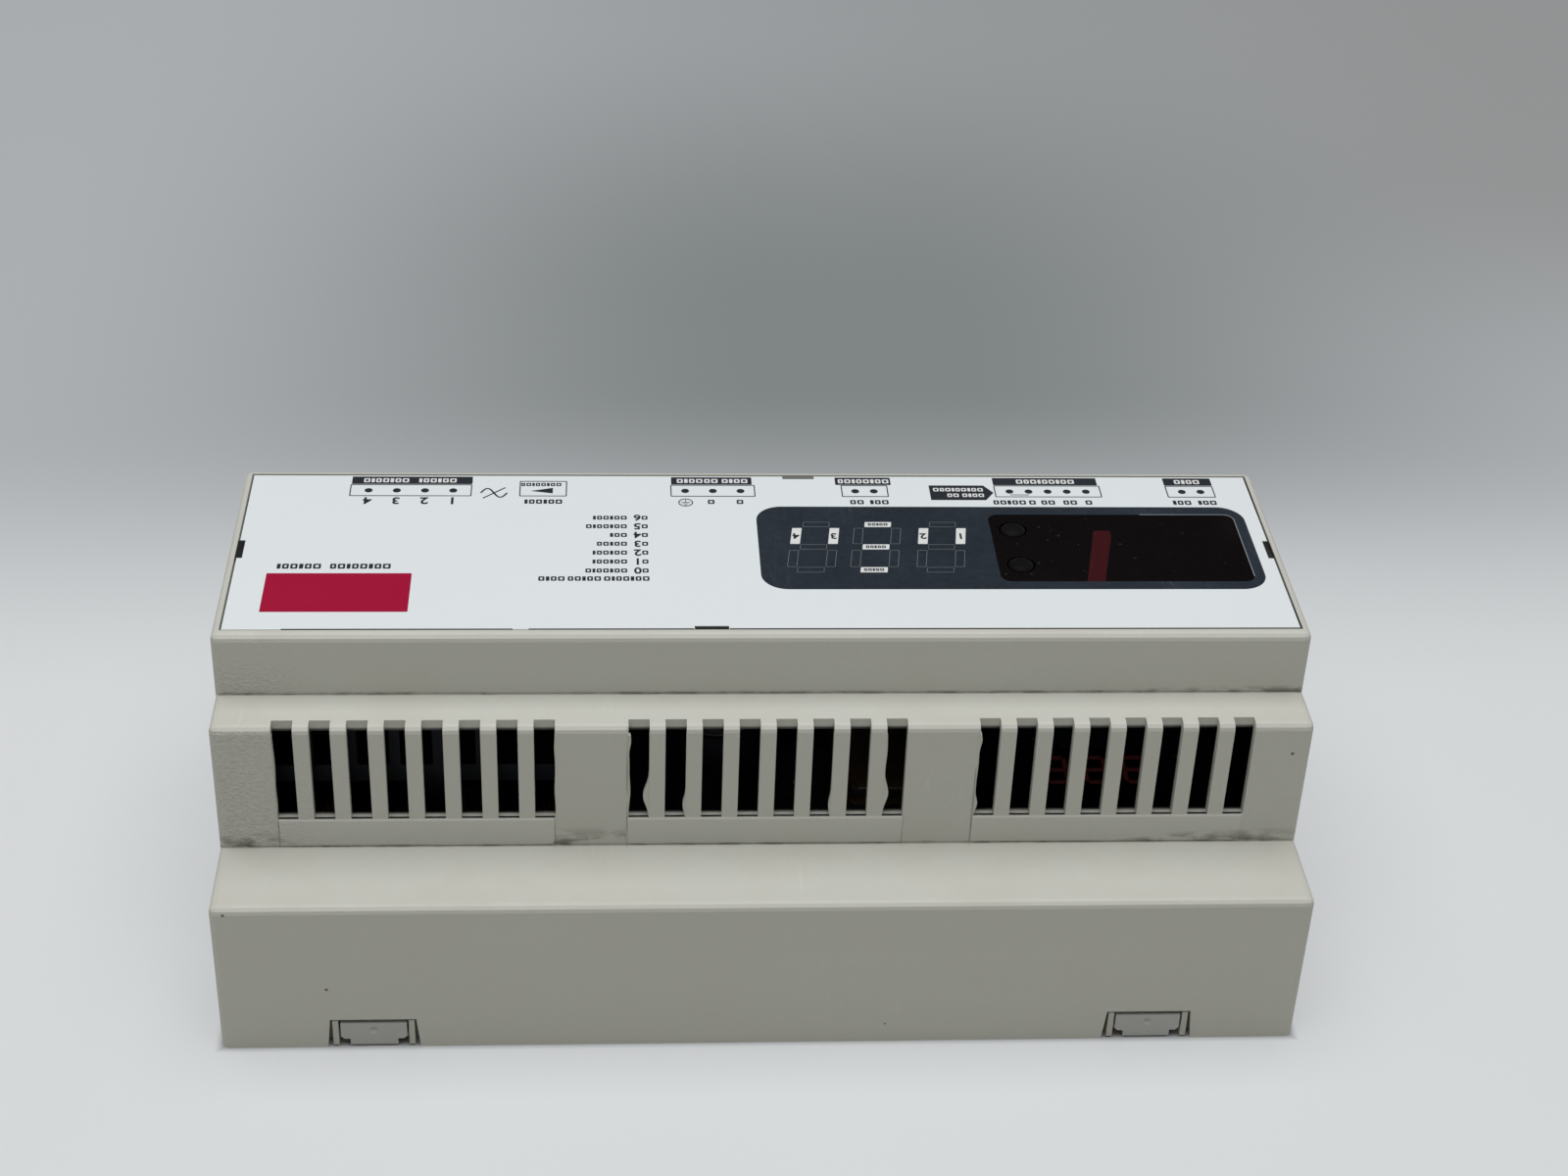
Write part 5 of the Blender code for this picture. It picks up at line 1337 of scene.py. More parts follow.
@dataclass
class FrontPanel:
    """The white panel with its printing: terminal diagrams, legend, table and colour field."""

    bezel_x: Point = (-0.3, 76.2)
    bezel_y: Point = (-10.0, 13.5)
    bezel_radius: float = 4.0
    glass_x: Point = (35.8, 74.5)
    glass_y: Point = (-7.9, 11.2)
    glass_radius: float = 1.6
    # Width and ends of the line of painted highlight along the window's edge
    edge_line: float = 0.13
    edge_line_ends: Point = (24.0, 1.4)
    frame_radii: Point = (0.16, 0.08)
    digit_bold: float = 0.022
    slant: float = 0.125
    tab_y: float = 4.75
    digits: tuple[tuple[float, str], ...] = ((8.45, "43"), (18.0, ""), (28.05, "21"))
    bar_rows: tuple[float, ...] = (-4.75, 1.7, 8.15)
    bar_half: Point = (2.05, 0.72)
    side_rows: tuple[Point, Point] = ((-3.95, 0.75), (2.55, 7.1))
    side_away: float = 2.9
    side_half: float = 0.74
    segment_line: float = 0.075
    tab_number: float = 1.6
    tab_word: tuple[float, int, float] = (1.5, 5, 0.8)
    line: float = 0.17
    frame_y: Point = (16.5, 20.0)
    strip_y: Point = (20.15, 22.35)
    title_y: float = 21.15
    way_y: float = 14.9
    letter: float = 1.35
    dot_y: float = 18.2
    dot_radius: float = 0.62
    dot_link: tuple[Point, Point] = ((40.2, 43.2), (17.1, 17.25))
    terminals: tuple[TerminalMark, ...] = (
        TerminalMark((-63.3, -44.4), (-63.15, -44.4), (-60.4, -47.3, 4), ((-46.9, 6), (-54.3, 7))),
        TerminalMark(
            (-13.4, -0.1), (-13.25, -0.55), (-11.1, -2.4, 3),
            ((-1.2, 4), (-5.9, 2), (-8.3, 4)), ((-6.6, 1), (-2.1, 1)),
        ),
        TerminalMark((13.5, 20.9), (12.7, 21.5), (15.7, 18.65, 2), ((21.2, 8),), ((20.7, 3), (16.8, 2))),
        TerminalMark(
            (37.8, 54.8), (37.85, 54.5), (40.2, 52.4, 5),
            ((50.9, 9),), ((52.9, 1), (50.5, 2), (47.0, 2), (43.95, 1), (42.4, 5)),
        ),
        TerminalMark((65.3, 73.0), (65.3, 73.0), (67.8, 70.8, 2), ((71.1, 4),), ((72.75, 3), (68.7, 3))),
    )
    channels: tuple[tuple[str, float], ...] = (("4", -60.4), ("3", -56.0), ("2", -51.65), ("1", -47.3))
    channel_y: float = 15.1
    number_height: float = 2.0
    tag: tuple[Point, ...] = ((27.5, 15.6), (36.2, 15.6), (37.6, 17.8), (36.2, 20.0), (27.5, 20.0))
    tag_words: tuple[tuple[float, float, int], ...] = ((36.0, 18.65, 9), (36.0, 16.95, 4), (32.0, 16.95, 2))
    tag_letter: float = 1.15
    sine_at: Point = (-43.0, 17.5)
    sine_size: Point = (4.1, 1.3)
    sine_line: float = 0.27
    slash: tuple[Point, ...] = ((-42.6, 15.9), (-40.9, 17.5), (-39.2, 19.1))
    slash_line: float = 0.22
    wedge: tuple[Point, ...] = ((-35.2, 18.1), (-31.8, 17.4), (-31.8, 19.0))
    load_frame: tuple[Point, Point] = ((-37.0, -29.6), (16.5, 21.1))
    load_word: tuple[float, float, int, float] = (-30.5, 20.05, 8, 1.05)
    load_rating: Word = (-30.3, 6)
    earth_at: Point = (-11.1, 14.7)
    earth_radii: Point = (1.15, 0.98)
    earth_bars: tuple[Point, ...] = ((0.7, 0.05), (0.45, -0.35), (0.2, -0.75))
    earth_line: float = 0.06
    table_y: Point = (-4.9, 10.15)
    table_x: tuple[float, float, float] = (-17.1, -18.7, -20.3)
    table_number: float = 1.75
    table_words: tuple[int, ...] = (7, 6, 6, 5, 3, 7, 6)
    heading: tuple[Word, ...] = ((-17.0, 7), (-24.2, 5), (-29.6, 4))
    heading_y: float = -7.1
    heading_letter: float = 1.3
    field_x: Point = (-73.6, -52.25)
    field_y: Point = (-15.95, -5.65)
    field_words: tuple[Word, ...] = ((-55.5, 8), (-65.8, 6))
    field_word_y: float = -3.7
    field_letter: float = 1.5
    # Notches, and the dark blocks and strips of painted shade in the notches and in the gap along the
    # panel's edges
    notch_length: float = 5.0
    notch_depth: float = 0.8
    plug_drop: float = 0.12
    plug_edge: float = 0.02
    notch_x: float = -8.1
    seat: float = 56.0
    gap: float = 0.26
    end_gaps: tuple[float, ...] = (-14.0, 12.0)
    thin_gap: float = 0.12
    near_gaps: tuple[tuple[float, float, float], ...] = ((-70.0, -36.9, 0.20), (-34.6, -10.7, 0.20))
    last_gap: Point = (-5.5, 0.14)
    shade_off: float = 0.01
    shade_lap: Point = (0.15, 0.02)

    def print_field(self, name: str, parts: list[Surface], ink: Finish) -> None:
        """Makes one printed piece that rides with the panel."""
        make(name, Surface.merged(parts), ink)

    def layer(self, layer: Layer) -> Point:
        """Lower and upper height of a printed layer, sunk a little into what carries it."""
        return layer.value - PRINT_SINK, layer.value + FILM

    def bar(self, x: Point, y: Point, layer: Layer = Layer.BASE, radius: float = 0.1) -> Surface:
        """A printed rectangle."""
        return plate(rounded_rectangle(x, y, radius, 2), *self.layer(layer))

    def frame_of(self, x: Point, y: Point, line: float, layer: Layer = Layer.BASE) -> Surface:
        """A printed rectangular outline, drawn inwards by the width of its line.

        Args:
            x: Lowest and highest x.
            y: Lowest and highest y.
            line: Width of the line.
            layer: Layer that it is printed in.

        Returns:
            The closed outline.
        """
        outer_radius, inner_radius = self.frame_radii
        outer = rounded_rectangle(x, y, outer_radius, 2)
        inner_x, inner_y = (x[0] + line, x[1] - line), (y[0] + line, y[1] - line)
        inner = rounded_rectangle(inner_x, inner_y, inner_radius, 2)
        return hollow_plate(outer, inner, *self.layer(layer))

    def word(
        self, head: float, y: float, letters: int, height: float = 1.2, layer: Layer = Layer.BASE
    ) -> list[Surface]:
        """A row of small boxes of equal height that stands for a word.

        Wide boxes are hollow and narrow ones are filled.

        Args:
            head: The x of the word's start, from which it runs towards -X.
            y: Middle of its height.
            letters: How many boxes it has.
            height: Height of the boxes.
            layer: Layer that the word is printed in.

        Returns:
            The printed boxes.
        """
        boxes, place, rise = [], head, (y - height * BOX_HALF, y + height * BOX_HALF)
        for index in range(letters):
            share = BOX_WIDTHS[index % len(BOX_WIDTHS)]
            x = (place - height * share, place)
            if share > HOLLOW_FROM:
                boxes.append(self.frame_of(x, rise, height * BOX_LINE, layer))
            else:
                boxes.append(self.bar(x, rise, layer, 0.05))
            place = x[0] - height * BOX_GAP
        return boxes

    def words(
        self, words: Sequence[Word], y: float, height: float, layer: Layer = Layer.BASE
    ) -> list[Surface]:
        """Several words at one height."""
        return [box for head, letters in words for box in self.word(head, y, letters, height, layer)]

    def number(self, text: str, x: float, y: float, height: float, layer: Layer = Layer.BASE) -> Surface:
        """A number whose head points to -Y, as the front is read from the terminals.

        The letter shapes are made a mesh first, welded, and then turned by half a turn.

        Args:
            text: The digits.
            x: Middle of the number.
            y: Middle of the number.
            height: Height of the digits.
            layer: Layer that the number is printed in.

        Returns:
            The closed digits.
        """
        curve = bpy.data.curves.new("digits", "FONT")
        curve.body, curve.size, curve.extrude, curve.resolution_u = text, 1.0, 0.5, 4
        curve.offset = self.digit_bold
        holder = bpy.data.objects.new("digits", curve)
        bm = bmesh.new()
        bm.from_mesh(holder.to_mesh())
        bpy.data.objects.remove(holder)
        bmesh.ops.remove_doubles(bm, verts=bm.verts, dist=1e-5)
        bmesh.ops.triangulate(bm, faces=bm.faces)
        points = np.array([vert.co for vert in bm.verts])
        triangles = np.array([[vert.index for vert in face.verts] for face in bm.faces])
        bm.free()
        bpy.data.curves.remove(curve)
        low, high = points.min(axis=0), points.max(axis=0)
        factor = height / (high[1] - low[1])
        flat = (points[:, :2] - (low[:2] + high[:2]) / 2) * -factor + np.array((x, y))
        bottom, top = self.layer(layer)
        level = bottom + (top - bottom) * (points[:, 2] - low[2]) / (high[2] - low[2])
        return Surface(np.column_stack((flat, level)), triangles=triangles).outward()

    def build_bezel(self) -> None:
        """The dark field round the window, and a pale line of painted highlight along the window's far and
        right edges.
        """
        outer = rounded_rectangle(self.bezel_x, self.bezel_y, self.bezel_radius, 10)
        inner = rounded_rectangle(self.glass_x, self.glass_y, self.glass_radius, 10)
        self.print_field("bezel_print", [hollow_plate(outer, inner, *self.layer(Layer.BASE))], BEZEL)
        (low_x, high_x), (low_y, high_y) = self.glass_x, self.glass_y
        turn = np.linspace(TURN / 4, 0, 9)
        corner = np.array((high_x - self.glass_radius, high_y - self.glass_radius))
        arc = corner + self.glass_radius * np.column_stack((np.cos(turn), np.sin(turn)))
        from_left, from_near = self.edge_line_ends
        path = np.vstack(((low_x + from_left, high_y), arc, (high_x, low_y + from_near)))
        # The line of painted highlight runs along the far edge, round the corner and down the right edge
        line = ribbon(path, self.edge_line, *self.layer(Layer.OVER))
        self.print_field("window_edge_highlight", [line], EDGE_HIGHLIGHT)

    def slanted(self, surface: Surface) -> Surface:
        """Leans a printed field: x grows by the slant times its way in y from the tabs."""
        surface.points[:, 0] += self.slant * (surface.points[:, 1] - self.tab_y)
        return surface

    def segment(self, x: Point, y: Point) -> Surface:
        """The thin outline of one bar of a digit."""
        return self.frame_of(x, y, self.segment_line, Layer.OVER)

    def build_legend(self) -> None:
        """Three digits: numbered tabs and plain bars for some segments, outlines for others."""
        half_x, half_y = self.bar_half
        lower, upper = self.side_rows
        ahead, letters, height = self.tab_word
        outlines, tabs, numbers = [], [], []
        for x, texts in self.digits:
            for y in self.bar_rows:
                ends, levels = (x - half_x, x + half_x), (y - half_y, y + half_y)
                if texts:
                    outlines.append(self.segment(ends, levels))
                else:
                    tabs.append(self.bar(ends, levels, Layer.OVER))
                    head = x + ahead + self.slant * (y - self.tab_y)
                    numbers += self.word(head, y, letters, height, Layer.TOP)
            for index, middle in enumerate((x - self.side_away, x + self.side_away)):
                ends = (middle - self.side_half, middle + self.side_half)
                outlines.append(self.segment(ends, lower))
                if texts:
                    tabs.append(self.bar(ends, upper, Layer.OVER))
                    place = (middle, self.tab_y, self.tab_number)
                    numbers.append(self.number(texts[index], *place, Layer.TOP))
                else:
                    outlines.append(self.segment(ends, upper))
        self.print_field("legend_outlines", [self.slanted(one) for one in outlines], GREY_INK)
        self.print_field("legend_tabs", [self.slanted(one) for one in tabs], WHITE_INK)
        self.print_field("legend_numbers", numbers, NAVY)

    def build_terminal_diagrams(self) -> None:
        """For each terminal block a framed row of dots with a dark strip beyond it."""
        frames, dots, strips, titles = [], [], [], []
        for mark in self.terminals:
            frames.append(self.frame_of(mark.frame, self.frame_y, self.line))
            strips.append(self.bar(mark.strip, self.strip_y))
            for place in np.linspace(*mark.dots):
                dots.append(plate(circle(place, self.dot_y, self.dot_radius), *self.layer(Layer.BASE)))
            titles += self.words(mark.titles, self.title_y, self.letter, Layer.OVER)
        dots.append(self.bar(*self.dot_link, radius=0.05))
        for head, y, letters in self.tag_words:
            titles += self.word(head, y, letters, self.tag_letter, Layer.OVER)
        self.print_field("terminal_frames", frames, NAVY)
        self.print_field("terminal_dots", dots, NAVY)
        self.print_field("terminal_strips", strips, NAVY)
        self.print_field("strip_titles", titles, WHITE_INK)

    def sine_sign(self) -> list[Surface]:
        """One struck-through wave: y is its height times the sine of its share of a turn.

        Returns:
            The wave and its stroke.
        """
        share, level = np.linspace(0, 1, 40), self.layer(Layer.BASE)
        x, y = self.sine_at
        length, rise = self.sine_size
        wave = np.column_stack((x + length * share, y + rise * np.sin(TURN * share)))
        return [ribbon(wave, self.sine_line, *level), ribbon(np.array(self.slash), self.slash_line, *level)]

    def earth_sign(self) -> list[Surface]:
        """The earth sign: a ring round three bars, each shorter than the last, and a stem.

        Returns:
            The printed parts of the sign.
        """
        x, y = self.earth_at
        outer, inner = (circle(x, y, radius) for radius in self.earth_radii)
        line = self.earth_line
        parts = [hollow_plate(outer, inner, *self.layer(Layer.BASE))]
        for half, lift in self.earth_bars:
            parts.append(self.bar((x - half, x + half), (y + lift - line, y + lift + line), radius=0.03))
        parts.append(self.bar((x - line, x + line), (y + 0.05, y + 0.85), radius=0.03))
        return parts

    def build_far_marks(self) -> None:
        """Channel numbers, load signs, the earth sign, the pointing tag and the words of the ways."""
        level = self.layer(Layer.BASE)
        numbers = [self.number(text, x, self.channel_y, self.number_height) for text, x in self.channels]
        signs = [*self.sine_sign(), plate(np.array(self.wedge), *level), *self.earth_sign()]
        signs.append(self.frame_of(*self.load_frame, self.line))
        signs += self.word(*self.load_word)
        ways = [self.load_rating] + [way for mark in self.terminals for way in mark.ways]
        self.print_field("channel_numbers", numbers, NAVY)
        self.print_field("load_signs", signs, NAVY)
        self.print_field("pointing_tag", [plate(np.array(self.tag), *level)], NAVY)
        self.print_field("way_marks", self.words(ways, self.way_y, self.letter), NAVY)

    def build_table(self) -> None:
        """Seven rows of a number and a word in plain blocks, with a heading above them."""
        sign_x, number_x, word_x = self.table_x
        parts = []
        rows = zip(np.linspace(*self.table_y, len(self.table_words)), self.table_words)
        for index, (y, letters) in enumerate(rows):
            parts += self.word(sign_x, y, 1)
            parts.append(self.number(str(index), number_x, y, self.table_number))
            parts += self.word(word_x, y, letters)
        parts += self.words(self.heading, self.heading_y, self.heading_letter)
        self.print_field("table_print", parts, NAVY)

    def build_notches(self) -> None:
        """Dark blocks of painted shade in three of the panel's edge notches, and dark strips of painted
        shade in the gap along its edges.
        """
        low, high = box_of("front_panel")
        middle, half, deep, gap = (low[1] + high[1]) / 2, self.notch_length / 2, self.notch_depth, self.gap
        seat, top = self.seat, PANEL_TOP - self.plug_drop
        # Painted shade: dark blocks in three notches
        notch_shades = (
            ((low[0] - gap, middle - half, seat), (low[0] + deep, middle + half, top)),
            ((high[0] - deep, middle - half, seat), (high[0] + gap, middle + half, top)),
            ((self.notch_x - half, low[1] - gap, seat), (self.notch_x + half, low[1] + deep, top)),
        )
        make("edge_notch_shade", Surface.merged(block(*notch_shade, self.plug_edge) for notch_shade in notch_shades), BLACK_GUIDE_AND_SHADE)
        # Painted shade: dark strips in the gap along the right end and the near edge, the near ones running
        # a little onto the panel
        near, far = self.end_gaps
        strips = []
        for start, end, width in ((low[1], near, gap), (near, far, self.thin_gap), (far, high[1], gap)):
            strips.append(block((high[0] + self.shade_off, start, seat), (high[0] + width, end, top)))
        last_x, last_width = self.last_gap
        near_edge, near_top = low[1] + self.shade_lap[0], PANEL_TOP + self.shade_lap[1]
        for left, right, width in (*self.near_gaps, (last_x, high[0], last_width)):
            strips.append(block((left, low[1] - width, seat), (right, near_edge, near_top)))
        make("edge_gap_shade", Surface.merged(strips), BLACK_GUIDE_AND_SHADE)

    def build(self) -> None:
        """Dresses the panel and prints each of its fields."""
        dress(LABEL, "front_panel")
        self.build_bezel()
        self.build_legend()
        self.build_terminal_diagrams()
        self.build_far_marks()
        self.build_table()
        self.print_field("colour_field", [self.bar(self.field_x, self.field_y, radius=0.15)], CRIMSON)
        title = self.words(self.field_words, self.field_word_y, self.field_letter)
        self.print_field("field_title", title, NAVY)
        self.build_notches()


@dataclass
class DisplayWindow:
    """The dark window, a glowing bar of painted light and a dark sheet of painted shade behind it, and the
    two domed buttons in it.
    """

    # Place, size and heights of the glowing bar of painted light
    pipe_at: Point = (54.1, 10.3)
    pipe_size: Point = (2.6, 1.4)
    pipe_z: Point = (45.5, 55.15)
    # Corners of the dark sheet of painted shade
    shade_x: Point = (28.0, 77.5)
    shade_y: Point = (21.2, 21.7)
    shade_z: Point = (29.0, 54.2)
    button_x: float = 39.3
    button_y: Point = (6.8, -3.2)
    button_radius: float = 1.9
    button_top: float = 58.4
    dome_height: float = 0.55
    dish: Point = (0.12, 0.6)
    collar: Place = (2.8, 54.1, 54.9)
    rod: Point = (1.5, 15.6)

    def cap(self, y: float) -> Surface:
        """A button: a long rod, its stop collar and a cap with a domed, dished top.

        Over the cap the height falls with the fourth power of the radius, and a shallow
        dish takes its depth times (1 - (r / reach)^2) off the middle, r being a share of
        the cap's radius.

        Args:
            y: Place of the button's axis.

        Returns:
            The closed button.
        """
        radius = np.linspace(1.0, 0.0, 14)[:-1]
        depth, reach = self.dish
        dome = self.dome_height * (1 - radius**4) - depth * np.clip(1 - (radius / reach) ** 2, 0, 1)
        top = self.button_top - self.dome_height
        rim = [(self.button_radius * r, top + lift) for r, lift in zip(radius, dome)]
        collar_radius, collar_low, collar_high = self.collar
        profile = [
            (self.rod[0], self.rod[1]),
            (self.rod[0], collar_low),
            (collar_radius, collar_low),
            (collar_radius, collar_high),
            (self.button_radius, collar_high),
            *rim,
        ]
        return turned(profile, self.button_x, y, 48)

    def build(self) -> None:
        """Dresses the window and makes the glowing bar of painted light, the dark sheet of painted shade
        behind it and the buttons.
        """
        dress(WINDOW, "display_window")
        # The glowing bar of painted light, which lights nothing round it
        x, y = self.pipe_at
        half_x, half_y = self.pipe_size[0] / 2, self.pipe_size[1] / 2
        glow_low, glow_high = self.pipe_z
        glow_block = block((x - half_x, y - half_y, glow_low), (x + half_x, y + half_y, glow_high), 0.1)
        bar = make("painted_glow_bar", glow_block, RED_GLOW)
        bar.visible_diffuse = bar.visible_glossy = False
        # A dark sheet of painted shade behind the window
        corners = zip(self.shade_x, self.shade_y, self.shade_z)
        make("painted_shade_sheet", block(*corners), BLACK_GUIDE_AND_SHADE)
        for number, place in enumerate(self.button_y, 1):
            body = f"button_{number}"
            cap = make(f"button_cap_{number}", self.cap(place), BUTTON, body, True)
            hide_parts(f"push_button_{number}")


@dataclass
class PowerStage:
    """Heat sink, transistors and chokes, with the mains fuse and the supply's parts."""

    choke_count: int = 4
    core_radius: float = 2.1
    wire_radius: float = 0.42
    turns: int = 34
    points_per_turn: int = 18
    wound_share: float = 0.94
    core_steps: tuple[int, int] = (64, 20)
    band_levels: tuple[float, float, int] = (6.6, 3.4, 5)
    band_half: float = 0.55
    band_rings: tuple[Place, Place] = ((2.4, -0.1, 1.2), (3.2, 0.4, 0.8))
    disc_inset: float = 1.4
    disc_half: float = 0.1
    disc_rim: float = 0.5
    disc_middle: Point = (0.2, 0.02)

    def choke(self, node: str) -> tuple[Surface, Surface]:
        """A ring core and the wire wound on it, inside the box of a packed choke.

        The wire's middle line is at angle t round the ring and at angle n t round the
        tube, n being the number of turns: x = (R + r cos n t) cos t, y likewise with
        sin t, z = r sin n t. The core is the same with a smaller r and t, a full circle.

        Args:
            node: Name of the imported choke.

        Returns:
            The core and the winding.
        """
        low, high = box_of(node)
        middle = (low + high) / 2
        tube = (high[2] - low[2]) / 2
        ring = (high[0] - low[0]) / 2 - tube
        along_steps, round_steps = self.core_steps
        angle = np.linspace(0, TURN, along_steps, endpoint=False)[:, None]
        around = np.linspace(0, TURN, round_steps, endpoint=False)[None, :]
        reach = ring + self.core_radius * np.cos(around)
        core = np.stack(
            (reach * np.cos(angle), reach * np.sin(angle), self.core_radius * np.sin(around) + 0 * angle),
            axis=-1,
        )
        along = np.linspace(0, TURN * self.wound_share, self.turns * self.points_per_turn)
        wound = tube - self.wire_radius
        arm = ring + wound * np.cos(self.turns * along)
        wire = np.column_stack(
            (arm * np.cos(along), arm * np.sin(along), wound * np.sin(self.turns * along))
        )
        return closed_loop(core).moved(*middle), swept(wire + middle, self.wire_radius)

    def build_chokes(self) -> None:
        """A core and a winding in place of each packed choke."""
        for number in range(1, self.choke_count + 1):
            core, wire = self.choke(f"output_choke_{number}")
            make(f"choke_core_{number}", core, CORE, smooth=True)
            winding = make(f"choke_winding_{number}", wire, COPPER, smooth=True)
            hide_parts(f"output_choke_{number}")

    def transformer_windings(self) -> Surface:
        """Flat bands round the taped coil, one above the other, each a rounded ring.

        Returns:
            The closed bands.
        """
        low, high = box_of("supply_transformer")
        foot, head, count = self.band_levels
        outer, inner = (
            rounded_rectangle((low[0] + x, high[0] - x), (low[1] + y, high[1] - y), radius)
            for x, y, radius in self.band_rings
        )
        levels = np.linspace(low[2] + foot, high[2] - head, count)
        half = self.band_half
        return Surface.merged(hollow_plate(outer, inner, level - half, level + half) for level in levels)

    def capacitor_top(self) -> Surface:
        """The bare metal disc on the bulk capacitor, dished inside its rolled rim.

        It is a profile turned about the capacitor's axis: up the rim, over it, and down to
        the dish's middle.

        Returns:
            The closed disc.
        """
        low, high = box_of("bulk_capacitor")
        x, y = (low[:2] + high[:2]) / 2
        radius = (high[0] - low[0]) / 2 - self.disc_inset
        lower, upper = high[2] - self.disc_half, high[2] + self.disc_half
        core, dish = self.disc_middle
        profile = (
            (core, lower),
            (radius, lower),
            (radius, upper),
            (radius - self.disc_rim, upper),
            (core, high[2] + dish),
        )
        return turned(profile, x, y, 40)

    def build(self) -> None:
        """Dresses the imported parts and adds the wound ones."""
        dress(ALUMINIUM, "heat_sink")
        dress(EPOXY, *(f"power_transistor_{number}" for number in range(1, 9)))
        self.build_chokes()
        dress(TAPE, "supply_transformer")
        make("transformer_bands", self.transformer_windings(), FERRITE)
        dress(SLEEVE, "bulk_capacitor")
        make("capacitor_disc", self.capacitor_top(), STEEL, smooth=True)
        dress(FILM_BOX, "film_capacitor")
        dress(FUSE, "mains_fuse")
        dress(TINNED, "fuse_holder")


@dataclass
class ControlStage:
    """The boards with the display, the processor, the switches and the small parts."""

    digit_pitch: float = 6.4
    digit_half: Point = (1.7, 3.2)
    stroke: float = 0.75
    recess: float = 0.2
    segment_z: Point = (-0.2, 0.05)
    segment_gap: float = 0.15
    lamp_x: tuple[float, ...] = (58.2, 61.0, 65.4)
    lamp_y: float = -17.5
    lamp_size: Place = (0.6, 0.9, 0.9)
    lamp_edge: float = 0.2
    chip_height: float = 1.5
    chip_inset: float = 0.6
    chip_edge: float = 0.15
    pin_pitch: float = 1.27
    pin_height: float = 0.6
    pin_half: float = 0.2
    pin_ends: Point = (0.6, 0.3)
    pin_reach: Point = (-0.7, 0.2)
    chips: tuple[tuple[float, float, float, float], ...] = (
        (48.0, 16.0, 5.0, 4.0),
        (64.0, 12.0, 6.0, 4.4),
        (66.5, -22.0, 7.5, 5.4),
        (50.0, -26.0, 5.0, 4.0),
        (20.0, -34.0, 6.0, 5.0),
    )

    def segment(self, x: Point, y: Point, level: float) -> Surface:
        """One bar of a digit with pointed ends, between two (x, y) places.

        Args:
            x: x of both ends.
            y: y of both ends.
            level: Height of the recess that it lies in.

        Returns:
            The closed bar.
        """
        start, end = np.array((x[0], y[0])), np.array((x[1], y[1]))
        along = (end - start) / np.linalg.norm(end - start)
        side = np.array((-along[1], along[0])) * self.stroke / 2
        tip = along * self.stroke / 2
        lower, upper = (start + tip - side, end - tip - side), (end - tip + side, start + tip + side)
        low, high = self.segment_z
        return plate(np.array((start, *lower, end, *upper)), level + low, level + high)

    def digits(self) -> Surface:
        """Three seven-segment digits in the display's recesses.

        Returns:
            The segments of all the digits.
        """
        low, high = box_of("digit_display")
        x_middle, y_middle = (low[:2] + high[:2]) / 2
        level, gap = high[2] - self.recess, self.segment_gap
        half_x, half_y = self.digit_half
        bars = []
        for x in x_middle + self.digit_pitch * np.arange(-1, 2):
            for y in (y_middle - half_y, y_middle, y_middle + half_y):
                bars.append(self.segment((x - half_x + gap, x + half_x - gap), (y, y), level))
            for side in (-half_x, half_x):
                for y in (y_middle - half_y, y_middle):
                    bars.append(self.segment((x + side, x + side), (y + gap, y + half_y - gap), level))
        return Surface.merged(bars)

    def chip(self, x: float, y: float, length: float, width: float) -> tuple[Surface, Surface]:
        """A small chip and the row of pins along each of its two long sides.

        Args:
            x: x of its middle.
            y: y of its middle.
            length: Length along X.
            width: Width over the pins, along Y.

        Returns:
            The chip's body and its pins.
        """
        half_x, half_y = length / 2, width / 2
        low = (x - half_x, y - half_y + self.chip_inset, BOARD_TOP)
        high = (x + half_x, y + half_y - self.chip_inset, BOARD_TOP + self.chip_height)
        first, last = self.pin_ends
        pins = []
        for place in np.arange(x - half_x + first, x + half_x - last, self.pin_pitch):
            for side in (-1, 1):
                near, far = sorted(y + side * (half_y + reach) for reach in self.pin_reach)
                pin_high = (place + self.pin_half, far, BOARD_TOP + self.pin_height)
                pins.append(block((place - self.pin_half, near, BOARD_TOP), pin_high))
        return block(low, high, self.chip_edge), Surface.merged(pins)

    def build(self) -> None:
        """Dresses the boards and adds what stands on them."""
        dress(BOARD, "power_board", "control_board")
        dress(STEEL, *(f"board_screw_{number}" for number in range(1, 5)))
        dress(DISPLAY, "digit_display")
        dress(EPOXY, "processor")
        dress(SWITCH, "button_switch_1", "button_switch_2", "board_link")
        dress(BLACK_GUIDE_AND_SHADE, "button_guide")
        make("display_segments", self.digits(), SEGMENT)
        bodies, pins = zip(*(self.chip(*chip) for chip in self.chips))
        make("small_chips", Surface.merged(bodies), EPOXY)
        make("small_chip_pins", Surface.merged(pins), TINNED)
        half_x, half_y, height = self.lamp_size
        near, far, top = self.lamp_y - half_y, self.lamp_y + half_y, BOARD_TOP + height
        sides = [(x - half_x, x + half_x) for x in self.lamp_x]
        edge = self.lamp_edge
        lamps = [block((left, near, BOARD_TOP), (right, far, top), edge) for left, right in sides]
        make("pilot_lamps", Surface.merged(lamps), LAMP)


@dataclass(frozen=True)
class TerminalRow:
    """One terminal block: the stem of its nodes' names and its number of ways."""

    stem: str
    ways: int


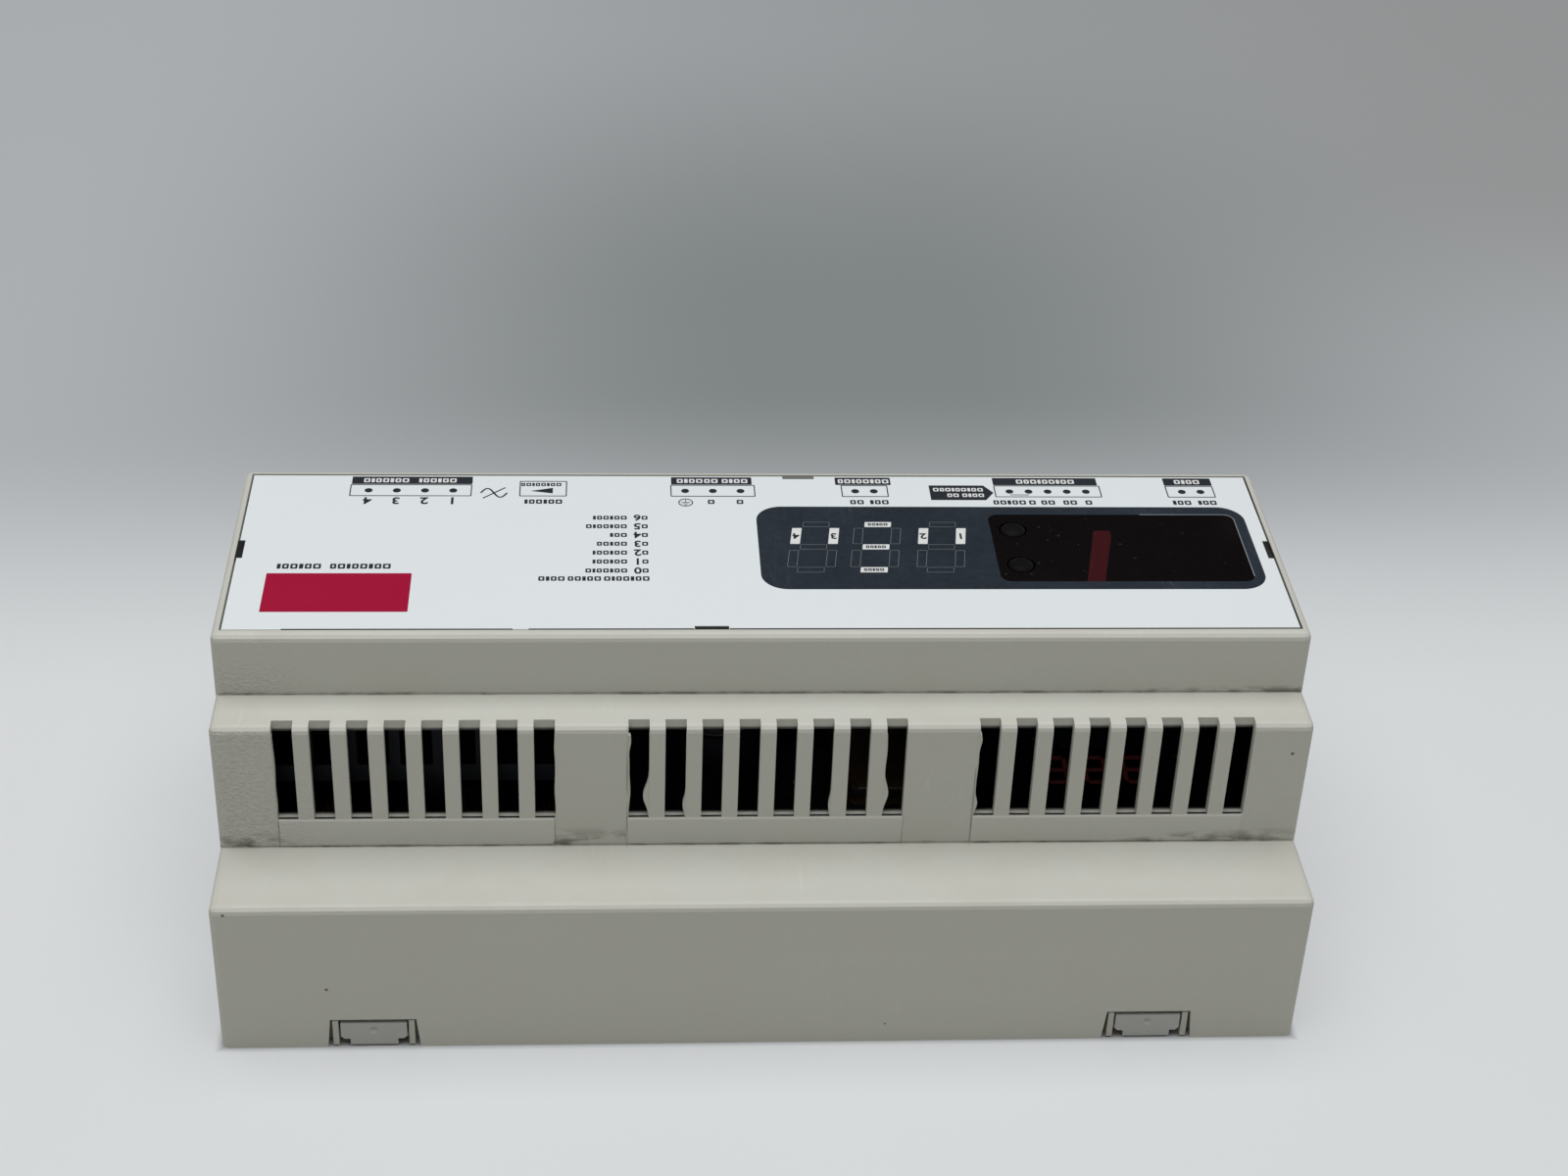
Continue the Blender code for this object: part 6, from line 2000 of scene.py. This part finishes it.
@dataclass
class Terminals:
    """The five terminal blocks with their screws and the clamps inside their wire entries."""

    rows: tuple[TerminalRow, ...] = (
        TerminalRow("output", 4),
        TerminalRow("mains", 3),
        TerminalRow("override", 2),
        TerminalRow("control", 5),
        TerminalRow("bus", 2),
    )
    clamp_wall: float = 0.35
    clamp_depth: float = 3.0
    clamp_setback: float = 1.4
    entry: Point = (14.3, 17.3)
    entry_margin: float = 0.25

    def clamp(self, screw: str, far: float) -> Surface:
        """The plated cage of one way: a square ring that lies inside the wire entry.

        Args:
            screw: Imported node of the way's screw.
            far: y of the block's far face.

        Returns:
            The closed ring.
        """
        low, high = box_of(screw)
        x, half = (low[0] + high[0]) / 2, (high[0] - low[0]) / 2 - self.entry_margin
        z_low, z_high = self.entry
        outer = np.array(((z_high, x + half), (z_high, x - half), (z_low, x - half), (z_low, x + half)))
        inner = outer + np.sign(np.array(((z_low + z_high) / 2, x)) - outer) * self.clamp_wall
        front = far - self.clamp_setback
        return hollow_plate(outer, inner, front - self.clamp_depth, front).laid()

    def build(self) -> None:
        """Dresses each block and its screws and puts a clamp in each entry."""
        for row in self.rows:
            block_name = f"{row.stem}_terminal_block"
            screws = [f"{row.stem}_terminal_screw_{number}" for number in range(1, row.ways + 1)]
            dress(TERMINAL, block_name)
            dress(STEEL, *screws)
            far = box_of(block_name)[1][1]
            clamps = [self.clamp(screw, far) for screw in screws]
            make(f"{row.stem}_terminal_clamps", Surface.merged(clamps), TINNED)


@dataclass(frozen=True)
class Paper(Finish):
    """The pale sheet that the unit stands on, with painted shade that greys it further back and towards the
    right, and a painted shadow behind the unit.

    The camera, gloss and glass see its own colours. The light that it throws back at the unit is that of a
    darker sheet, so that the walls keep their shade. A part of what they see is a painted glow, which keeps
    the shadows on the sheet faint outside the unit's footprint.
    """

    # Colours of the far sheet's painted shade on the left and on the right, and of the painted shadow
    # behind the unit
    left: Colour = (0.455, 0.476, 0.492)
    right: Colour = (0.325, 0.333, 0.336)
    patch: Colour = (0.228, 0.248, 0.252)
    thrown: float = 0.55
    # Share of the seen sheet that is painted glow, and the light that the glow matches
    lit: float = 0.5
    plain_light: float = 0.90
    # Where the painted shade turns towards the right and fades in, and where the painted shadow lies
    turn_x: Point = (-60.0, 220.0)
    turn_y: Point = (120.0, 270.0)
    fade_y: Point = (40.0, 138.0)
    patch_left: Point = (-160.0, 15.0)
    patch_right: Point = (215.0, 45.0)
    patch_near: Point = (80.0, 160.0)
    patch_far: Point = (190.0, 370.0)
    # Where the painted glow stops at the unit's footprint
    foot_span: Point = (0.6, -1.2)

    def paint(self, graph: Graph, sockets: Sockets, at: Value) -> None:
        """Painted shade that fades along Y and greys towards the right, a painted shadow behind the unit,
        and a painted glow outside the unit's footprint.

        Args:
            graph: Pen of the material.
            sockets: Inputs of its shader.
            at: Place on the object.
        """
        x, y, _ = graph.axes(at)
        mottle = graph.noise(at, 14.0, 3.0)
        near = graph.mix(mottle, shade(self.colour, 0.985), shade(self.colour, 1.015))
        # Painted shade: greyer further back, more so on the right
        turn = graph.times(graph.step(x, self.turn_x), graph.step(y, self.turn_y))
        far = graph.mix(turn, self.left, self.right)
        sheet = graph.mix(graph.step(y, self.fade_y), near, far)
        # Painted shadow behind the unit
        across = graph.times(graph.step(x, self.patch_left), graph.step(x, self.patch_right))
        along = graph.scaled(graph.step(y, self.patch_far), -0.65, 1.0)
        along = graph.times(along, graph.step(y, self.patch_near))
        sheet = graph.mix(graph.times(across, along), sheet, self.patch)
        # The camera, gloss and glass see the sheet, part of it as painted glow; other rays see a plain grey
        rays = graph.add("ShaderNodeLightPath").outputs
        seen = graph.highest((rays["Is Camera Ray"], rays["Is Glossy Ray"], rays["Is Transmission Ray"]))
        grey = (self.thrown, self.thrown, self.thrown * 0.94)
        shown = graph.mix(1 - self.lit, (0.0, 0.0, 0.0), sheet)
        graph.put(sockets["Base Color"], graph.mix(seen, grey, shown))
        # No painted glow under the unit's footprint, so the shade stays there
        beside = graph.math("SUBTRACT", END * MM, graph.math("ABSOLUTE", x))
        before = graph.math("SUBTRACT", FAR * MM, graph.math("ABSOLUTE", y))
        clear = graph.step(graph.lowest((beside, before)), self.foot_span)
        lit = graph.times(seen, clear)
        graph.put(sockets["Emission Color"], graph.mix(lit, (0.0, 0.0, 0.0), sheet))
        sockets["Emission Strength"].default_value = self.lit * self.plain_light


# Sheet with painted shade, a painted shadow and a painted glow
PAPER = Paper("paper_painted_shade_and_glow", (0.725, 0.745, 0.757), 0.6, 0.3)
CARD = Printed("dark_card", (0.02, 0.02, 0.021), 0.7)


@dataclass
class Stage:
    """Floor, dark card, lamp, world and camera."""

    focal_pixels: float = 2721.73
    image_width: float = 1600.0
    sensor: float = 36.0
    camera_at: Place = (-22.70, -340.82, 274.31)
    yaw: float = 4.427
    pitch: float = -33.085
    roll: float = 2.400
    lamp_power: float = 14.0
    lamp_size: float = 1.2
    lamp_at: Place = (-0.06, -0.13, 1.15)
    world: Colour = (0.12, 0.12, 0.12)
    backdrop: Colour = (0.50, 0.51, 0.52)
    floor_radius: float = 2500.0
    floor_depth: float = 2.0
    card: tuple[Place, Place] = ((-500.0, 560.0, 190.0), (500.0, 562.0, 1000.0))

    def floor(self) -> None:
        """A pale disc under the unit, worked out as a turned plate."""
        sheet = plate(circle(0.0, 0.0, self.floor_radius, 96), -self.floor_depth, 0.0)
        solid("floor", sheet, PAPER)

    def dark_card(self) -> None:
        """A dark card beyond the view, which only mirrors of the scene see."""
        card = solid("dark_card", block(*self.card), CARD)
        card.visible_camera = card.visible_diffuse = card.visible_shadow = False

    def lamp(self) -> None:
        """One wide square lamp above the unit, which shines straight down."""
        light = bpy.data.lights.new("overhead", "AREA")
        light.energy, light.size = self.lamp_power, self.lamp_size
        lamp = bpy.data.objects.new("overhead", light)
        lamp.location = self.lamp_at
        bpy.context.scene.collection.objects.link(lamp)

    def sky(self) -> None:
        """A plain world, paler where the camera, gloss or glass looks straight into it."""
        world = bpy.data.worlds.new("studio")
        bpy.context.scene.world = world
        world.use_nodes = True
        graph = Graph(world.node_tree)
        rays = graph.add("ShaderNodeLightPath").outputs
        seen = graph.highest((rays["Is Camera Ray"], rays["Is Glossy Ray"], rays["Is Transmission Ray"]))
        background = world.node_tree.nodes["Background"]
        graph.put(background.inputs["Color"], graph.mix(seen, self.world, self.backdrop))

    def camera(self) -> None:
        """The camera of the photograph: its place, yaw, pitch, roll and lens."""
        yaw, pitch, roll = (math.radians(angle) for angle in (self.yaw, self.pitch, self.roll))
        level = math.cos(pitch)
        forward = Vector((math.sin(yaw) * level, math.cos(yaw) * level, math.sin(pitch)))
        right = Vector((math.cos(yaw), -math.sin(yaw), 0.0))
        up = right.cross(forward)
        across = math.cos(roll) * right + math.sin(roll) * up
        upward = -math.sin(roll) * right + math.cos(roll) * up
        data = bpy.data.cameras.new("camera")
        data.sensor_width = self.sensor
        data.lens = self.focal_pixels / self.image_width * self.sensor
        data.clip_start = 0.01
        camera = bpy.data.objects.new("camera", data)
        turn = Matrix((across, upward, -forward)).transposed().to_4x4()
        camera.matrix_world = Matrix.Translation(Vector(self.camera_at) * MM) @ turn
        bpy.context.scene.collection.objects.link(camera)
        bpy.context.scene.camera = camera

    def build(self) -> None:
        """Makes the camera, the floor, the light and the view's plain settings."""
        self.camera()
        self.floor()
        self.dark_card()
        self.lamp()
        self.sky()
        bpy.context.scene.view_settings.view_transform = "Standard"


def main() -> None:
    """Builds the stage and each sub-assembly in order and reports each."""
    logging.basicConfig(level=logging.INFO, format="%(message)s")
    for assembly in (Stage(), Hood(), RailMount(), FrontPanel(), DisplayWindow(),
                     PowerStage(), ControlStage(), Terminals()):
        before = len(bpy.data.objects)
        assembly.build()
        log.info("%s: %d new objects", type(assembly).__name__, len(bpy.data.objects) - before)


if __name__ == "__main__":
    main()
